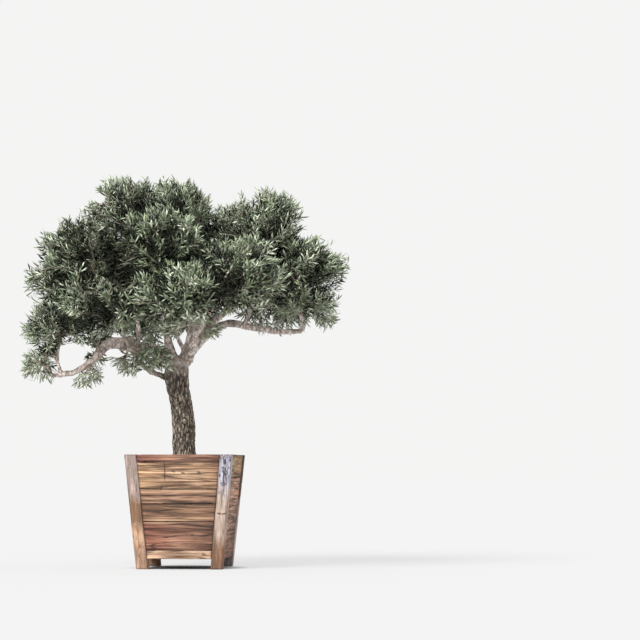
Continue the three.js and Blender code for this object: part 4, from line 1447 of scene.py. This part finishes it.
def grow_mass(index, mass):
    """All parts of one mass: twig tubes, and leaves with their shades."""
    random = np.random.default_rng(FIRST_SEED + SEED_STEP * index)
    paths = grow_twigs(mass, index, random)
    shoots = grow_shoots(mass, paths, random)
    start, way, bend, length, apart = shoots
    root, leaf_way, size, number = leaf_rows(mass, shoots, random)
    outwards = unit(root - CROWN_MIDDLE)
    facing = outwards * FACE_OUT + np.array([0, 0, FACE_UP]) + random.normal(0, FACE_CHANCE, root.shape)
    shade = painted_shade_of(start + way * length[:, None], apart, random)[number]
    points = leaf_points(root, leaf_way, size, facing, random)
    grown = length > LEAST_SHOOT
    shoot_paths = np.stack([shoot_point(start[grown], way[grown], bend[grown], length[grown],
                                        np.full(grown.sum(), share))
                            for share in np.linspace(0, 1, SHOOT_RINGS)], axis=1)
    twig_paths = np.stack([read_off(np.linspace(0, len(path) - 1, TWIG_RINGS), range(len(path)), path)
                           for path in paths])
    tubes = [tapered(shoot_paths, SHOOT_RADIUS, SHOOT_TIP, SHOOT_SIDES),
             tapered(twig_paths, TWIG_RADIUS, TWIG_TIP, TWIG_SIDES),
             tapered(mass.stem[None], STEM_RADIUS, TWIG_RADIUS, STEM_SIDES)]
    return tubes, points, shade


def joined(parts):
    """Several meshes' points and faces as one."""
    points, faces, before = [], [], 0
    for p, f in parts:
        points.append(p)
        faces.append(f + before)
        before += len(p)
    return np.vstack(points), np.vstack(faces)


def build_region(region, names):
    """Two pieces, the leaves and the twigs of some masses, in place of the masses' solids."""
    tubes, blades, shades = [], [], []
    for index, mass in enumerate(masses):
        if mass.name in names:
            mass_tubes, points, shade = grow_mass(index, mass)
            tubes += mass_tubes
            blades.append(points)
            shades.append(shade)
    points, shade = np.vstack(blades), np.concatenate(shades)
    faces = numbered(LEAF_FACES + LEAF_UNDERS, len(shade), POINTS_EACH)
    # Undersides of the darkest sprays get a painted shade instead of the silvery underside.
    under = np.where(shade == SHADES.index("deep"), SHADES.index("painted_shade_under"), SHADES.index("under"))
    numbers = np.column_stack([shade, under]).repeat(len(LEAF_FACES), axis=1).ravel()
    nodes = [f"foliage_{mass.name}" for mass in outer_masses if mass.name in names]
    leaves = array_mesh(f"leaves_{region}", points, faces, numbers)
    place_mesh(f"leaves_{region}", leaves, leaf_finishes, nodes, False)
    twigs = array_mesh(f"twigs_{region}", *joined(tubes))
    place_mesh(f"twigs_{region}", twigs, [twig_bark], nodes, True)
    return len(shade)


counts = {region: build_region(region, names) for region, names in REGIONS.items()}
print("leaves:", counts, "in all", sum(counts.values()))

# %% [markdown]
# ## The floor
# The tree stands on a plain pale floor, so large that its far edge melts into the sky. The floor
# glows softly of its own, which keeps shadows on it faint. Only in a round spot under the planter it
# doesn't, so that the planter's own shadow stays dark there.

# %% Floor
FLOOR_RADIUS, FLOOR_SIDES = 120, 96
SPOT_EDGE = (0.23, 0.34)
SPOT_GREY, FLOOR_GREYS = 0.511, (0.148, 0.152)
FLOOR_GLOW = 0.637


def build_floor():
    bm = bmesh.new()
    bmesh.ops.create_circle(bm, cap_ends=True, segments=FLOOR_SIDES, radius=FLOOR_RADIUS)
    mesh = mesh_from(bm, "studio_floor")
    finish, tree, shader, place = new_finish("studio_floor_paint", roughness=0.9)
    stops = zip((0.3, 0.7), map(grey, FLOOR_GREYS))
    colour = ramp(tree, speckle(tree, place, scale=0.8, detail=2.0), list(stops))
    away = add_node(tree, "VectorMath", {0: place}, operation="LENGTH").outputs["Value"]
    clear = share_between(tree, away, *SPOT_EDGE)
    tree.links.new(mix_colours(tree, clear, grey(SPOT_GREY), colour), shader.inputs["Base Color"])
    tree.links.new(clear, shader.inputs["Emission Color"])
    shader.inputs["Emission Strength"].default_value = FLOOR_GLOW
    shader.inputs["Specular IOR Level"].default_value = 0.0
    mesh.materials.append(finish)
    put_in_scene("studio_floor", mesh)


build_floor()
print("floor:", 2 * FLOOR_RADIUS, "m across")

# %% [markdown]
# ## The light
# The light is that of a white studio: an even glow from all around, and one wide soft lamp from the
# upper left in front, which gives the boughs and leaves their pale sides. A sun lamp does for this,
# because its rays are the same everywhere, and its angle sets how soft the shadows are.

# %% Light
GLOW = 0.905
GLOW_COLOUR = (1, 1, 0.995, 1)
SUN_STRENGTH = 3.8
SUN_SOFTNESS = math.radians(28)
SUN_FROM = Vector((-0.55, -0.80, 1.0))


def build_light():
    world = bpy.data.worlds.new("studio_glow")
    world.use_nodes = True
    background = world.node_tree.nodes["Background"]
    background.inputs["Color"].default_value = GLOW_COLOUR
    background.inputs["Strength"].default_value = GLOW
    bpy.context.scene.world = world
    lamp = bpy.data.lights.new("key", "SUN")
    lamp.energy, lamp.angle = SUN_STRENGTH, SUN_SOFTNESS
    key = put_in_scene("key", lamp)
    key.rotation_euler = SUN_FROM.to_track_quat("Z", "Y").to_euler()
    bpy.context.scene.view_settings.view_transform = "Standard"


build_light()
print("soft lamp:", SUN_STRENGTH)
